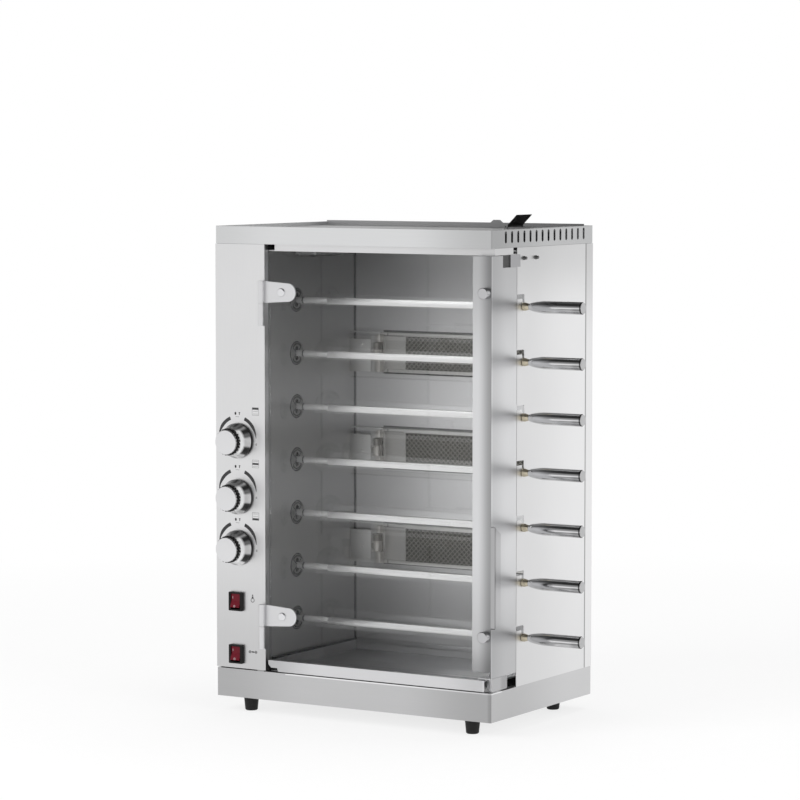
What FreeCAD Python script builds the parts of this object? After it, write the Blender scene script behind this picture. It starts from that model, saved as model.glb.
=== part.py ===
import FreeCAD, Part
import math
import os

os.makedirs("parts", exist_ok=True)

Vector = FreeCAD.Vector
X_AXIS = Vector(1, 0, 0)
Y_AXIS = Vector(0, 1, 0)
Z_AXIS = Vector(0, 0, 1)

# All lengths are in millimetres. X runs from the control side to the spit handles,
# Y from the door to the back and Z upwards. The casing is drawn with its left front
# bottom corner at zero, and every piece is moved to the floor centre when it is saved.

# Casing
body_width = 580.0
body_depth = 371.0
shell_height = 862.4
plinth_height = 52.0
cap_height = 32.0
sheet = 1.2
seam = 0.3
panel_gap = 2.0
corner_radius = 3.0
plinth_flange = 75.0
wall_flange = 15.0
lap = 20.0
lap_inset = 10.0

# Feet
foot_height = 27.0
foot_top_radius = 14.0
foot_bottom_radius = 11.5
foot_edge = 1.5
foot_side_inset = 55.0
foot_front_inset = 31.0
foot_back_inset = 45.0

# Control compartment
control_width = 107.0
panel_return = 12.0
knob_x = 48.0
knob_heights = (472.0, 369.5, 276.0)
switch_x = 44.5
switch_heights = (177.0, 80.0)

# Cooking chamber
chamber_left = 103.0
back_space = 58.0
head_space = 44.4
header_setback = 14.0
header_left = 120.0
header_side_end = 78.0
side_panel_front = 89.5
side_return = 12.0
rear_wrap = 26.0

# Top
rim_width = 12.0
rim_depth = 6.0
rim_lap = 4.0
cap_flange = 10.0
back_upstand = 3.0
lug_centre = 385.0
lug_width = 26.0
lug_height = 5.0
lug_slant = 6.0
vent_count = 14
vent_width = 7.0
vent_first = 49.0
vent_back_inset = 36.0
vent_bottom = 8.0
vent_length = 21.0
vent_corner = 2.4
flue_inset = 80.0
flue_back_inset = 117.0
flue_width = 24.0
flue_length = 55.0
flue_collar = 5.5
damper_angle = 45.0
damper_reach = 30.0
damper_wall = 1.2
damper_pin_radius = 1.2
damper_roll_radius = 2.2
damper_set_off = 4.0
damper_ear = 3.0
ceiling_flue_margin = 25.0

# Spits
spit_count = 7
spit_drop = 92.5
lowest_spit = 137.5
spit_y = 112.5
bar_width = 12.0
shank_radius = 6.0
shank_end = 173.0
bar_gap = 18.0
neck_radius = 3.0
groove_start = 118.0
groove_width = 2.0
groove_radius = 4.6
blade_thickness = 4.0
blade_width = 10.0
blade_length = 11.0
bush_radius = 7.3
bush_groove_radius = 3.8
bush_flange = 4.0
bush_groove = 2.6
bush_length = 18.0
handle_length = 108.0
handle_radius = 11.0
handle_nose_radius = 5.5
handle_nose = 12.0
handle_shoulder_radius = 8.8
handle_taper = 30.0
handle_chamfer = 1.5
handle_recess_radius = 8.0
handle_recess = 1.5
handle_bore_depth = 16.0
slot_rise = 18.0
slot_clearance = 0.3
slot_play = 0.3
bush_play = 0.7
running_clearance = 0.05
free_clearance = 0.4

# Spit drive
gear_teeth = 24
pinion_teeth = 12
gear_width = 8.0
gear_x = 74.0
pressure_angle = 20.0
addendum = 0.95
dedendum = 1.25
backlash = 0.4
hub_radius = 10.0
disc_radius = 20.0
disc_thickness = 6.3
disc_proud = 0.3
disc_gap = 2.3
lobe_radius = 5.5
lobe_offset = 8.0
lobe_depth = 4.0
bearing_flange_radius = 30.0
bearing_flange = 3.5
bearing_body_radius = 25.0

# Motor
motor_shaft_radius = 5.0
motor_shaft_seat = 8.0
gearbox_length = 24.0
gearbox_height = 72.0
gearbox_depth = 66.0
gearbox_edge = 5.0
can_radius = 27.0
can_length = 32.0
bracket_wall = 2.5
bracket_height = 101.0
bracket_depth = 84.0
bracket_gap = 6.0
bracket_hole = 9.0
post_radius = 4.0
post_inset = 6.0

# Door
glass_left = 117.5
glass_inset = 5.0
glass_drop = 1.0
glass_bottom = 80.0
glass_thickness = 5.0
door_stand_off = 0.5
stile_width = 37.0
stile_bottom = 90.0
flange_bottom = 78.0
flange_back_gap = 1.0
stile_return = 8.0
catch_notch_start = 39.0
catch_notch_height = 21.0
strike_gap = 0.5
catch_plate_start = 64.0
catch_plate_lap = 9.5
magnet_width = 18.0
magnet_inset = 1.0
hinge_x = 104.3
knuckle_radius = 6.2
knuckle_gap = 0.5
pin_radius = 3.0
pin_length = 30.0
hinge_drop = 133.5
lower_hinge = 95.0
fixed_knuckle = 40.5
arm_knuckle = 40.0
leaf_reach = 9.8
leaf_thickness = 3.0
arm_thickness = 3.0
arm_tip_radius = 16.5
arm_tip_x = 159.5
arm_screw_x = 145.5
screw_head_radius = 7.5
screw_head = 2.4
screw_edge = 1.0
clamp_inset = 11.0
clamp_drop = 64.0
lower_clamp = 152.0
clamp_radius = 10.0
clamp_head = 12.0
bolt_radius = 3.0
bolt_hole = 3.4
nut_radius = 7.0
nut_height = 3.0
pull_bottom = 166.0
pull_length = 180.0
pull_depth = 21.0
pull_base = 8.0
pull_stand = 8.0
pull_slant = 14.0

# Drip tray
tray_left = 108.5
tray_inset = 16.0
tray_wall_height = 14.0
tray_back_gap = 4.0
lip_left = 113.0
lip_inset = 14.0
lip_bottom = 54.0
lip_height = 20.0
lip_hem = 16.0
lip_notch = 21.0
lip_notch_height = 6.5
lip_notch_slant = 2.0
lip_chamfer = 6.0
cheek_front = 3.6
cheek_recess = 9.0
cheek_back = 57.0
cheek_lift = 2.5
cheek_return = 10.8
shelf_inset = 28.0
shelf_gap = 0.5
runner_width = 14.0
runner_height = 13.0
runner_front = 18.0

# Burners
burner_count = 3
burner_drop = 197.0
lowest_burner = 261.0
burner_left = 170.0
burner_inset = 50.0
burner_height = 74.0
burner_proud = 16.0
burner_depth = 38.0
burner_rim = 6.0
burner_recess = 5.0
burner_wall = 2.0
burner_flange = 14.0
mesh_left = 223.0
mesh_inset = 65.0
mesh_thickness = 1.5
mesh_margin = 3.0
opening_margin = 4.0
shield_right = 150.0
shield_depth = 18.0
pilot_left = 154.0
pilot_width = 13.0
pilot_height = 30.0
pilot_radius = 5.0
pilot_waist = 2.0
pilot_stem = 2.0
pilot_set_off = 10.0
pilot_rise = 6.0
electrode_radius = 3.2
electrode_tip_radius = 1.0
electrode_length = 10.0
electrode_tip = 5.0

# Gas train
knob_skirt_radius = 32.0
knob_skirt_edge = 2.0
knob_cone_radius = 25.0
knob_cone = 24.0
knob_grip_radius = 24.5
knob_valley_radius = 22.6
knob_grip_end = 37.0
knob_front = 41.0
knob_cap_radius = 22.5
flute_count = 24
flute_share = 0.3
push_travel = 3.5
knob_stand = 4.3
stem_radius = 4.0
stem_front = 17.0
stem_seat = 13.0
stem_hole = 7.0
valve_neck_radius = 8.0
valve_neck = 9.0
valve_length = 24.0
valve_width = 30.0
valve_height = 30.0
valve_edge = 3.0
manifold_y = 68.0
manifold_side = 16.0
manifold_edge = 3.0
manifold_overrun = 14.0
inlet_height = 222.0
inlet_pipe_radius = 7.0
inlet_radius = 10.48
inlet_length = 18.0
inlet_collar_radius = 14.0
inlet_step = 0.5
inlet_hole_play = 1.5
inlet_collar = 10.0
pipe_radius = 4.0
pipe_x = 20.0
pipe_y = 45.0
pipe_back = 12.0

# Switches and lamp
bezel_width = 29.0
bezel_height = 34.5
bezel_proud = 6.0
bezel_edge = 1.5
window_width = 20.0
window_height = 28.8
pocket_depth = 14.0
switch_body_width = 26.0
switch_body_height = 31.0
switch_body_depth = 26.0
cutout_play = 0.3
rocker_half = 12.6
rocker_front = 9.0
rocker_waist = 6.5
rocker_shoulder = 3.0
rocker_heel = 6.0
rocker_foot = 3.0
rocker_pivot = 2.5
rocker_pin_radius = 1.5
rocker_pin = 1.8
rocker_tilt = 10.0
lamp_left = 104.0
lamp_width = 46.0
lamp_front = 104.0
lamp_length = 111.0
lamp_frame_height = 9.0
lamp_frame_wall = 5.0
lens_height = 13.0
lens_edge = 2.0

# Rear panel fittings
gland_x = 78.0
gland_height = 100.0
gland_radius = 9.0
gland_length = 12.0
gland_thread_radius = 6.0
gland_nut = 4.0
gland_bore = 3.5
gland_bore_depth = 4.0
rear_vent_count = 8
rear_vent_pitch = 24.0
rear_vent_width = 6.0
rear_vent_length = 90.0
rear_vent_inset = 200.0
rear_vent_drop = 222.4

# Derived places
chamber_back = body_depth - back_space
chamber_ceiling = shell_height - head_space
flue_x = body_width - flue_inset
vent_pitch = (body_depth - vent_back_inset - vent_first) / (vent_count - 1)
spit_top = chamber_ceiling - spit_drop
spit_pitch = (spit_top - lowest_spit) / (spit_count - 1)
bar_end = body_width - bar_gap
glass_right = body_width - glass_inset
glass_top = chamber_ceiling - glass_drop
hinge_bottoms = (glass_top - hinge_drop, lower_hinge)
clamp_x = body_width - clamp_inset
clamp_heights = (glass_top - clamp_drop, lower_clamp)
tray_right = body_width - tray_inset
lip_right = body_width - lip_inset
shelf_left = body_width - shelf_inset
burner_top = chamber_ceiling - burner_drop
burner_pitch = (burner_top - lowest_burner) / (burner_count - 1)
burner_heights = [burner_top - burner_pitch * index for index in range(burner_count)]
burner_right = body_width - burner_inset
mesh_right = body_width - mesh_inset
rear_vent_left = body_width - rear_vent_inset
rear_vent_bottom = shell_height - rear_vent_drop
cap_bottom = shell_height - cap_height
panel_bottom = plinth_height + panel_gap
panel_top = cap_bottom - seam
wrap_start = body_depth - rear_wrap
skin_inside = body_width - sheet
rear_inside = body_depth - sheet
top_plate_level = shell_height - rim_depth - sheet
groove_centre = body_width - sheet / 2.0
bush_start = groove_centre - bush_groove / 2.0 - bush_flange
handle_start = bush_start + bush_length
handle_end = handle_start + handle_length
spit_heights = [spit_top - spit_pitch * index for index in range(spit_count)]
slot_half = bush_groove_radius + slot_clearance
module = spit_pitch / gear_teeth
pinion_y = spit_y + module * (gear_teeth + pinion_teeth) / 2.0
motor_height = spit_heights[-1]
bracket_x = gear_x - bracket_gap - bracket_wall
door_front = -door_stand_off - sheet
glass_front = -door_stand_off
glass_back = glass_front + glass_thickness
hinge_y = -door_stand_off - knuckle_radius
flange_back = side_panel_front - flange_back_gap
wall_x = chamber_left - sheet
disc_front = chamber_left + disc_proud
disc_back = disc_front - disc_thickness
tray_bottom = plinth_height + sheet + seam
tray_back = chamber_back - tray_back_gap
shelf_top = flange_bottom - shelf_gap
burner_front = chamber_back - burner_proud
burner_back = burner_front + burner_depth
valve_back = manifold_y - manifold_side / 2.0
valve_front = valve_back - valve_length
neck_front = valve_front - valve_neck
flue_left = flue_x - sheet
flue_y = body_depth - flue_back_inset - flue_length
damper_x = flue_x - damper_set_off
damper_z = top_plate_level + sheet + flue_collar + seam + damper_wall / 2.0
arm_heights = [bottom + fixed_knuckle + knuckle_gap + arm_knuckle / 2.0 for bottom in hinge_bottoms]
floor_centre = Vector(-handle_end / 2.0, -(body_depth + inlet_length - knob_front) / 2.0, foot_height)


# Basic forms

def box(x_start, x_end, y_start, y_end, z_start, z_end):
    corner = Vector(x_start, y_start, z_start)
    return Part.makeBox(x_end - x_start, y_end - y_start, z_end - z_start, corner)


def rod(start, axis, length, radius):
    return Part.makeCylinder(radius, length, start, axis)


def prism(points, direction):
    return Part.Face(Part.makePolygon(points + points[:1])).extrude(direction)


# The outline lists pairs of a distance along the axis and a radius, all round the section.
def revolved(outline, start, axis):
    side = X_AXIS if axis == Z_AXIS else Z_AXIS
    points = [start + axis * along + side * radius for along, radius in outline]
    face = Part.Face(Part.makePolygon(points + points[:1]))
    return face.revolve(start, axis, 360.0)


def edges_along(shape, axis):
    chosen = []
    for edge in shape.Edges:
        ends = edge.Vertexes[-1].Point - edge.Vertexes[0].Point
        if ends.cross(axis).Length < 1e-6 * ends.Length:
            chosen.append(edge)
    return chosen


def rounded_box(x_start, x_end, y_start, y_end, z_start, z_end, axis, radius):
    block = box(x_start, x_end, y_start, y_end, z_start, z_end)
    return block.makeFillet(radius, edges_along(block, axis))


# An upright hole with cut corners in a wall that faces along the given axis.
def upright_slot(centre, axis, width, height, depth):
    across = axis.cross(Z_AXIS)
    half = width / 2.0
    rise = height / 2.0
    near = half - vent_corner
    low = rise - vent_corner
    corners = [(-near, -rise), (near, -rise), (half, -low), (half, low),
               (near, rise), (-near, rise), (-half, low), (-half, -low)]
    start = centre - axis * (depth / 2.0)
    return prism([start + across * i + Z_AXIS * j for i, j in corners], axis * depth)


# Straight runs that meet in mitred corners.
def mitred_pipe(points, radius):
    section = Part.Wire(Part.makeCircle(radius, points[0], points[1] - points[0]))
    return Part.makePolygon(points).makePipeShell([section], True, False, 1)


# Casing

def make_base_plinth():
    skirt = rounded_box(0.0, body_width, 0.0, body_depth, 0.0, plinth_height, Z_AXIS, corner_radius)
    hollow = box(sheet, skin_inside, sheet, rear_inside, sheet, plinth_height - sheet)
    opening = box(plinth_flange, body_width - plinth_flange, plinth_flange, body_depth - plinth_flange,
                  0.0, sheet)
    return skirt.cut([hollow, opening])


def make_rubber_feet():
    outline = [(0.0, 0.0), (0.0, foot_bottom_radius - foot_edge), (foot_edge, foot_bottom_radius),
               (foot_height, foot_top_radius), (foot_height, 0.0)]
    feet = []
    for x in (foot_side_inset, body_width - foot_side_inset):
        for y in (foot_front_inset, body_depth - foot_back_inset):
            feet.append(revolved(outline, Vector(x, y, -foot_height), Z_AXIS))
    return Part.Compound(feet)


def make_left_side_panel():
    skin = box(0.0, sheet, panel_return + seam, wrap_start - seam, plinth_height, panel_top)
    front_lap = box(sheet, 2.0 * sheet, panel_return - lap / 2.0, panel_return + lap / 2.0,
                    plinth_height + lap_inset, panel_top - lap_inset)
    rear_lap = box(sheet, 2.0 * sheet, wrap_start - lap / 2.0, wrap_start + lap / 2.0,
                   plinth_height + lap_inset, panel_top - lap_inset)
    return skin.fuse([front_lap, rear_lap])


def make_control_panel():
    face = box(0.0, control_width, 0.0, sheet, panel_bottom, panel_top)
    left = box(0.0, sheet, 0.0, panel_return, panel_bottom, panel_top)
    right = box(control_width - sheet, control_width, 0.0, panel_return, panel_bottom, panel_top)
    bottom = box(0.0, chamber_left - wall_flange, 0.0, panel_return, panel_bottom, panel_bottom + sheet)
    holes = [rod(Vector(knob_x, 0.0, z), Y_AXIS, sheet, stem_hole) for z in knob_heights]
    half_width = switch_body_width / 2.0 + cutout_play
    half_height = switch_body_height / 2.0 + cutout_play
    for z in switch_heights:
        holes.append(box(switch_x - half_width, switch_x + half_width, 0.0, sheet,
                         z - half_height, z + half_height))
    return face.fuse([left, right, bottom]).cut(holes)


def make_left_inner_wall():
    wall = box(wall_x, chamber_left, sheet, chamber_back, plinth_height, chamber_ceiling)
    flange = box(chamber_left - wall_flange, chamber_left, sheet, 2.0 * sheet,
                 plinth_height, chamber_ceiling)
    hole_radius = disc_radius + disc_gap
    holes = [rod(Vector(wall_x, spit_y, z), X_AXIS, sheet, hole_radius) for z in spit_heights]
    return wall.fuse(flange).cut(holes)


def make_back_inner_wall():
    wall = box(chamber_left - wall_flange, skin_inside, chamber_back, chamber_back + sheet,
               plinth_height, chamber_ceiling)
    flange = box(skin_inside - sheet, skin_inside, chamber_back, chamber_back + wall_flange,
                 plinth_height, chamber_ceiling)
    half_height = burner_height / 2.0 + opening_margin
    windows = []
    for z in burner_heights:
        windows.append(box(burner_left - opening_margin, burner_right + opening_margin, chamber_back,
                           chamber_back + sheet, z - half_height, z + half_height))
    return wall.fuse(flange).cut(windows)


def make_rear_panel():
    back = box(0.0, body_width, rear_inside, body_depth, plinth_height, panel_top)
    left = box(0.0, sheet, wrap_start, body_depth, plinth_height, panel_top)
    right = box(skin_inside, body_width, wrap_start, body_depth, plinth_height, panel_top)
    inlet_hole = rod(Vector(knob_x, rear_inside, inlet_height), Y_AXIS, sheet,
                     inlet_radius + inlet_hole_play)
    gland_hole = rod(Vector(gland_x, rear_inside, gland_height), Y_AXIS, sheet,
                     gland_thread_radius + seam)
    holes = [inlet_hole, gland_hole]
    for index in range(rear_vent_count):
        centre = Vector(rear_vent_left + rear_vent_pitch * index, rear_inside + sheet / 2.0,
                        rear_vent_bottom + rear_vent_length / 2.0)
        holes.append(upright_slot(centre, Y_AXIS, rear_vent_width, rear_vent_length, 2.0 * sheet))
    return back.fuse([left, right]).cut(holes)


# Each spit enters from the front at the top of its slot and drops into the round seat.
def spit_slot(z):
    entry_height = z + slot_rise
    entry = box(skin_inside, body_width, side_panel_front, spit_y,
                entry_height - slot_half, entry_height + slot_half)
    drop = box(skin_inside, body_width, spit_y - slot_half, spit_y + slot_half, z, entry_height)
    corner = rod(Vector(skin_inside, spit_y, entry_height), X_AXIS, sheet, slot_half)
    seat = rod(Vector(skin_inside, spit_y, z), X_AXIS, sheet, slot_half)
    half_notch = bush_radius + bush_play
    notch = box(skin_inside - side_return, skin_inside, side_panel_front, side_panel_front + sheet,
                entry_height - half_notch, entry_height + half_notch)
    return entry.fuse([drop, corner, seat, notch])


def make_right_side_panel():
    skin = box(skin_inside, body_width, side_panel_front, wrap_start - seam, plinth_height, panel_top)
    front = box(body_width - side_return, skin_inside, side_panel_front, side_panel_front + sheet,
                flange_bottom, chamber_ceiling)
    rear_lap = box(skin_inside - sheet, skin_inside, wrap_start - lap / 2.0, wrap_start + lap / 2.0,
                   plinth_height + lap_inset, panel_top - lap_inset)
    return skin.fuse([front, rear_lap]).cut([spit_slot(z) for z in spit_heights])


# Top

def make_top_cap():
    block = rounded_box(0.0, body_width, 0.0, body_depth, cap_bottom, shell_height, Z_AXIS,
                        corner_radius)
    hollow = box(sheet, skin_inside, sheet, rear_inside, cap_bottom + sheet, shell_height - sheet)
    bottom = box(cap_flange, body_width - cap_flange, cap_flange, body_depth - cap_flange,
                 cap_bottom, cap_bottom + sheet)
    rim = box(rim_width, body_width - rim_width, rim_width, body_depth - rim_width,
              shell_height - rim_depth, shell_height)
    fold = rim_width - sheet
    drop = box(fold, body_width - fold, fold, body_depth - fold, shell_height - rim_depth,
               shell_height - sheet)
    slots = []
    for index in range(vent_count):
        y = vent_first + vent_pitch * index
        z = cap_bottom + vent_bottom + vent_length / 2.0
        for x in (sheet / 2.0, body_width - sheet / 2.0):
            slots.append(upright_slot(Vector(x, y, z), X_AXIS, vent_width, vent_length, 2.0 * sheet))
    shell = block.cut([hollow, bottom]).fuse(drop)
    return shell.cut([rim] + slots)


def make_top_plate():
    inset = rim_width - sheet - rim_lap
    plate = box(inset, body_width - inset, inset, body_depth - inset, top_plate_level,
                top_plate_level + sheet)
    flue_right = flue_x + flue_width + sheet
    flue_back = flue_y + flue_length + sheet
    collar = box(flue_left, flue_right, flue_y - sheet, flue_back, top_plate_level,
                 top_plate_level + sheet + flue_collar)
    ears = []
    for y in (flue_y - seam - damper_ear, flue_y + flue_length + seam):
        ears.append(box(damper_x - damper_ear, damper_x + damper_ear, y, y + damper_ear,
                        top_plate_level + sheet, damper_z + damper_ear))
    opening = box(flue_x, flue_x + flue_width, flue_y, flue_y + flue_length, top_plate_level, damper_z)
    pin_start = Vector(damper_x, flue_y - seam - damper_ear, damper_z)
    pin_hole = rod(pin_start, Y_AXIS, flue_length + 2.0 * (seam + damper_ear),
                   damper_pin_radius + running_clearance)
    return plate.fuse([collar, top_upstand()] + ears).cut([opening, pin_hole])


# The plate is folded up along the back, with one low lug.
def top_upstand():
    back = body_depth - rim_width
    top = shell_height + back_upstand
    left = lug_centre - lug_width / 2.0
    right = lug_centre + lug_width / 2.0
    lug_top = top + lug_height
    outline = [(rim_width, top_plate_level), (body_width - rim_width, top_plate_level),
               (body_width - rim_width, top), (right, top), (right - lug_slant, lug_top),
               (left + lug_slant, lug_top), (left, top), (rim_width, top)]
    return prism([Vector(x, back - sheet, z) for x, z in outline], Y_AXIS * sheet)


# The flap stands open, leaning over the flue, and lies flat on the collar when shut.
def make_flue_damper():
    start = Vector(damper_x, flue_y, damper_z)
    roll = rod(start, Y_AXIS, flue_length, damper_roll_radius)
    pin = rod(start - Y_AXIS * (seam + damper_ear), Y_AXIS, flue_length + 2.0 * (seam + damper_ear),
              damper_pin_radius)
    flap = box(damper_x, damper_x + damper_reach, flue_y, flue_y + flue_length,
               damper_z - damper_wall / 2.0, damper_z + damper_wall / 2.0)
    damper = roll.fuse([pin, flap])
    damper.rotate(start, Y_AXIS, -damper_angle)
    return damper


def make_ceiling_panel():
    ceiling_top = chamber_ceiling + sheet
    ceiling = box(chamber_left - wall_flange, skin_inside, header_setback, chamber_back + sheet,
                  chamber_ceiling, ceiling_top)
    header = box(header_left, skin_inside, header_setback, header_setback + sheet,
                 chamber_ceiling, panel_top)
    side = box(skin_inside - sheet, skin_inside, header_setback, header_side_end,
               chamber_ceiling, panel_top)
    duct = box(flue_x - ceiling_flue_margin, flue_x + flue_width + ceiling_flue_margin,
               flue_y - ceiling_flue_margin, flue_y + flue_length + ceiling_flue_margin,
               chamber_ceiling, ceiling_top)
    return ceiling.fuse([header, side]).cut(duct)


# Drip tray

def make_tray_runners():
    runners = []
    top = plinth_height + runner_height
    left = tray_left - seam - sheet
    right = tray_right + seam + sheet
    for outer, inner in ((left, left + runner_width), (right, right - runner_width)):
        step = math.copysign(sheet, inner - outer)
        upright = box(min(outer, outer + step), max(outer, outer + step), runner_front, tray_back,
                      plinth_height, top)
        rail = box(min(outer, inner), max(outer, inner), runner_front, tray_back, plinth_height,
                   plinth_height + sheet)
        runners.append(upright.fuse(rail))
    return Part.Compound(runners)


def make_drip_tray():
    pan_top = tray_bottom + tray_wall_height
    lip_top = lip_bottom + lip_height
    pan = box(tray_left, tray_right, lip_hem, tray_back, tray_bottom, pan_top)
    front = box(lip_left, tray_right, lip_hem, lip_hem + sheet, tray_bottom, lip_top)
    hem = box(lip_left, lip_right, 0.0, lip_hem + sheet, lip_top - sheet, lip_top)
    notch_right = lip_left + lip_notch
    notch_top = lip_bottom + lip_notch_height
    outline = [(lip_left, lip_top), (lip_right, lip_top), (lip_right, lip_bottom),
               (notch_right, lip_bottom), (notch_right - lip_notch_slant, notch_top),
               (lip_left + lip_chamfer, notch_top), (lip_left, notch_top + lip_chamfer)]
    lip = prism([Vector(x, 0.0, z) for x, z in outline], Y_AXIS * sheet)
    hollow = box(tray_left + sheet, tray_right - sheet, lip_hem + sheet, tray_back - sheet,
                 tray_bottom + sheet, pan_top)
    return pan.fuse([front, hem, lip]).cut(hollow).fuse(make_tray_cheek())


# The right front corner of the tray closes the casing below the door.
def make_tray_cheek():
    bottom = plinth_height + cheek_lift
    shelf = box(shelf_left, body_width, cheek_front, cheek_back, shelf_top - sheet, shelf_top)
    cheek = box(skin_inside, body_width, cheek_front, cheek_back, bottom, shelf_top)
    face_front = cheek_front + cheek_recess
    face = box(skin_inside - cheek_return, skin_inside, face_front, face_front + sheet, bottom,
               shelf_top)
    web = box(tray_right - sheet, tray_right, lip_hem + sheet, cheek_back, tray_bottom, shelf_top)
    return shelf.fuse([cheek, face, web])


# Spits

def make_spit_bar(z):
    blade_start = disc_front - lobe_depth + slot_play
    shank_start = blade_start + blade_length
    blade = box(blade_start, shank_start + seam, spit_y - blade_thickness / 2.0,
                spit_y + blade_thickness / 2.0, z - blade_width / 2.0, z + blade_width / 2.0)
    groove_end = groove_start + groove_width
    outline = [(shank_start, 0.0), (shank_start, shank_radius), (groove_start, shank_radius),
               (groove_start, groove_radius), (groove_end, groove_radius), (groove_end, shank_radius),
               (shank_end, shank_radius), (shank_end, 0.0)]
    shank = revolved(outline, Vector(0.0, spit_y, z), X_AXIS)
    half = bar_width / 2.0
    bar = box(shank_end, bar_end, spit_y - half, spit_y + half, z - half, z + half)
    neck_length = handle_start + handle_bore_depth - seam - bar_end
    neck = rod(Vector(bar_end, spit_y, z), X_AXIS, neck_length, neck_radius)
    return blade.fuse([shank, bar, neck])


def make_spit_bush(z):
    bore = neck_radius + running_clearance
    groove_start_x = bush_start + bush_flange
    groove_end_x = groove_start_x + bush_groove
    outline = [(bush_start, bore), (bush_start, bush_radius), (groove_start_x, bush_radius),
               (groove_start_x, bush_groove_radius), (groove_end_x, bush_groove_radius),
               (groove_end_x, bush_radius), (groove_end_x + bush_flange, bush_radius),
               (handle_start, handle_nose_radius), (handle_start, bore)]
    return revolved(outline, Vector(0.0, spit_y, z), X_AXIS)


def make_spit_handle(z):
    bore = neck_radius + running_clearance
    bore_end = handle_start + handle_bore_depth
    outline = [(bore_end, 0.0), (bore_end, bore), (handle_start, bore),
               (handle_start, handle_nose_radius), (handle_start + handle_nose, handle_shoulder_radius),
               (handle_start + handle_taper, handle_radius),
               (handle_end - handle_chamfer, handle_radius),
               (handle_end, handle_radius - handle_chamfer), (handle_end, handle_recess_radius),
               (handle_end - handle_recess, handle_recess_radius), (handle_end - handle_recess, 0.0)]
    return revolved(outline, Vector(0.0, spit_y, z), X_AXIS)


def make_spit(z):
    return Part.Compound([make_spit_bar(z), make_spit_bush(z), make_spit_handle(z)])


# Spit drive

def involute(angle):
    return math.tan(angle) - angle


# Each flank follows the involute in two straight runs from the root to the tip.
def gear_blank(teeth, shift, centre):
    pitch_radius = module * teeth / 2.0
    base_radius = pitch_radius * math.cos(math.radians(pressure_angle))
    radii = (pitch_radius - dedendum * module, pitch_radius, pitch_radius + addendum * module)
    pitch_half = math.pi / (2.0 * teeth) - backlash / (4.0 * pitch_radius)
    pitch_half += involute(math.radians(pressure_angle))
    flank = []
    for radius in radii:
        roll = math.acos(min(1.0, base_radius / radius))
        flank.append((radius, pitch_half - involute(roll)))
    points = []
    for tooth in range(teeth):
        middle = 2.0 * math.pi * (tooth + shift) / teeth
        turns = [(radius, middle - half) for radius, half in flank]
        turns += [(radius, middle + half) for radius, half in reversed(flank)]
        for radius, turn in turns:
            points.append(centre + Y_AXIS * (radius * math.cos(turn)) + Z_AXIS * (radius * math.sin(turn)))
    return prism(points, X_AXIS * gear_width)


# Neighbouring gears stand half a tooth apart, so that the whole column meshes.
def make_drive_gear(index):
    z = spit_heights[index]
    gear = gear_blank(gear_teeth, (index % 2) / 2.0, Vector(gear_x, spit_y, z))
    gear_end = gear_x + gear_width
    hub = rod(Vector(gear_end, spit_y, z), X_AXIS, disc_back - gear_end, hub_radius)
    disc = rod(Vector(disc_back, spit_y, z), X_AXIS, disc_thickness, disc_radius)
    floor = disc_front - lobe_depth
    half_slot = blade_thickness / 2.0 + slot_play
    slot = box(floor, disc_front, spit_y - half_slot, spit_y + half_slot, z - lobe_offset,
               z + lobe_offset)
    lobes = [rod(Vector(floor, spit_y, z + side * lobe_offset), X_AXIS, lobe_depth, lobe_radius)
             for side in (-1.0, 1.0)]
    return gear.fuse([hub, disc]).cut([slot] + lobes)


def make_drive_bearings():
    flange_back_x = wall_x - bearing_flange
    body_back = gear_x + gear_width + free_clearance
    bore = hub_radius + running_clearance
    pocket = disc_back - free_clearance
    pocket_radius = disc_radius + disc_gap
    outline = [(wall_x, pocket_radius), (wall_x, bearing_flange_radius),
               (flange_back_x, bearing_flange_radius), (flange_back_x, bearing_body_radius),
               (body_back, bearing_body_radius), (body_back, bore), (pocket, bore),
               (pocket, pocket_radius)]
    return Part.Compound([revolved(outline, Vector(0.0, spit_y, z), X_AXIS) for z in spit_heights])


def make_motor_pinion():
    centre = Vector(gear_x, pinion_y, motor_height)
    pinion = gear_blank(pinion_teeth, 1.0 / 2.0, centre)
    shaft_start = bracket_x - motor_shaft_seat
    shaft = rod(Vector(shaft_start, pinion_y, motor_height), X_AXIS, gear_x - shaft_start,
                motor_shaft_radius)
    return pinion.fuse(shaft)


def make_motor_bracket():
    half_depth = bracket_depth / 2.0
    half_height = bracket_height / 2.0
    bracket_end = bracket_x + bracket_wall
    plate = rounded_box(bracket_x, bracket_end, pinion_y - half_depth, pinion_y + half_depth,
                        motor_height - half_height, motor_height + half_height, X_AXIS, post_inset)
    hole = rod(Vector(bracket_x, pinion_y, motor_height), X_AXIS, bracket_wall, bracket_hole)
    posts = []
    for y in (pinion_y - half_depth + post_inset, pinion_y + half_depth - post_inset):
        for z in (motor_height - half_height + post_inset, motor_height + half_height - post_inset):
            posts.append(rod(Vector(bracket_end, y, z), X_AXIS, wall_x - bracket_end, post_radius))
    return plate.cut(hole).fuse(posts)


def make_gearmotor():
    half_depth = gearbox_depth / 2.0
    half_height = gearbox_height / 2.0
    gearbox_start = bracket_x - gearbox_length
    gearbox = rounded_box(gearbox_start, bracket_x, pinion_y - half_depth, pinion_y + half_depth,
                          motor_height - half_height, motor_height + half_height, X_AXIS, gearbox_edge)
    can = rod(Vector(gearbox_start - can_length, pinion_y, motor_height), X_AXIS, can_length, can_radius)
    bore_depth = motor_shaft_seat + seam
    bore = rod(Vector(bracket_x - bore_depth, pinion_y, motor_height), X_AXIS, bore_depth,
               motor_shaft_radius + running_clearance)
    return gearbox.fuse(can).cut(bore)


# Door

def bolt_hole_at(x, z):
    return rod(Vector(x, door_front - arm_thickness, z), Y_AXIS,
               glass_thickness + sheet + 2.0 * arm_thickness, bolt_hole)


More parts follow.
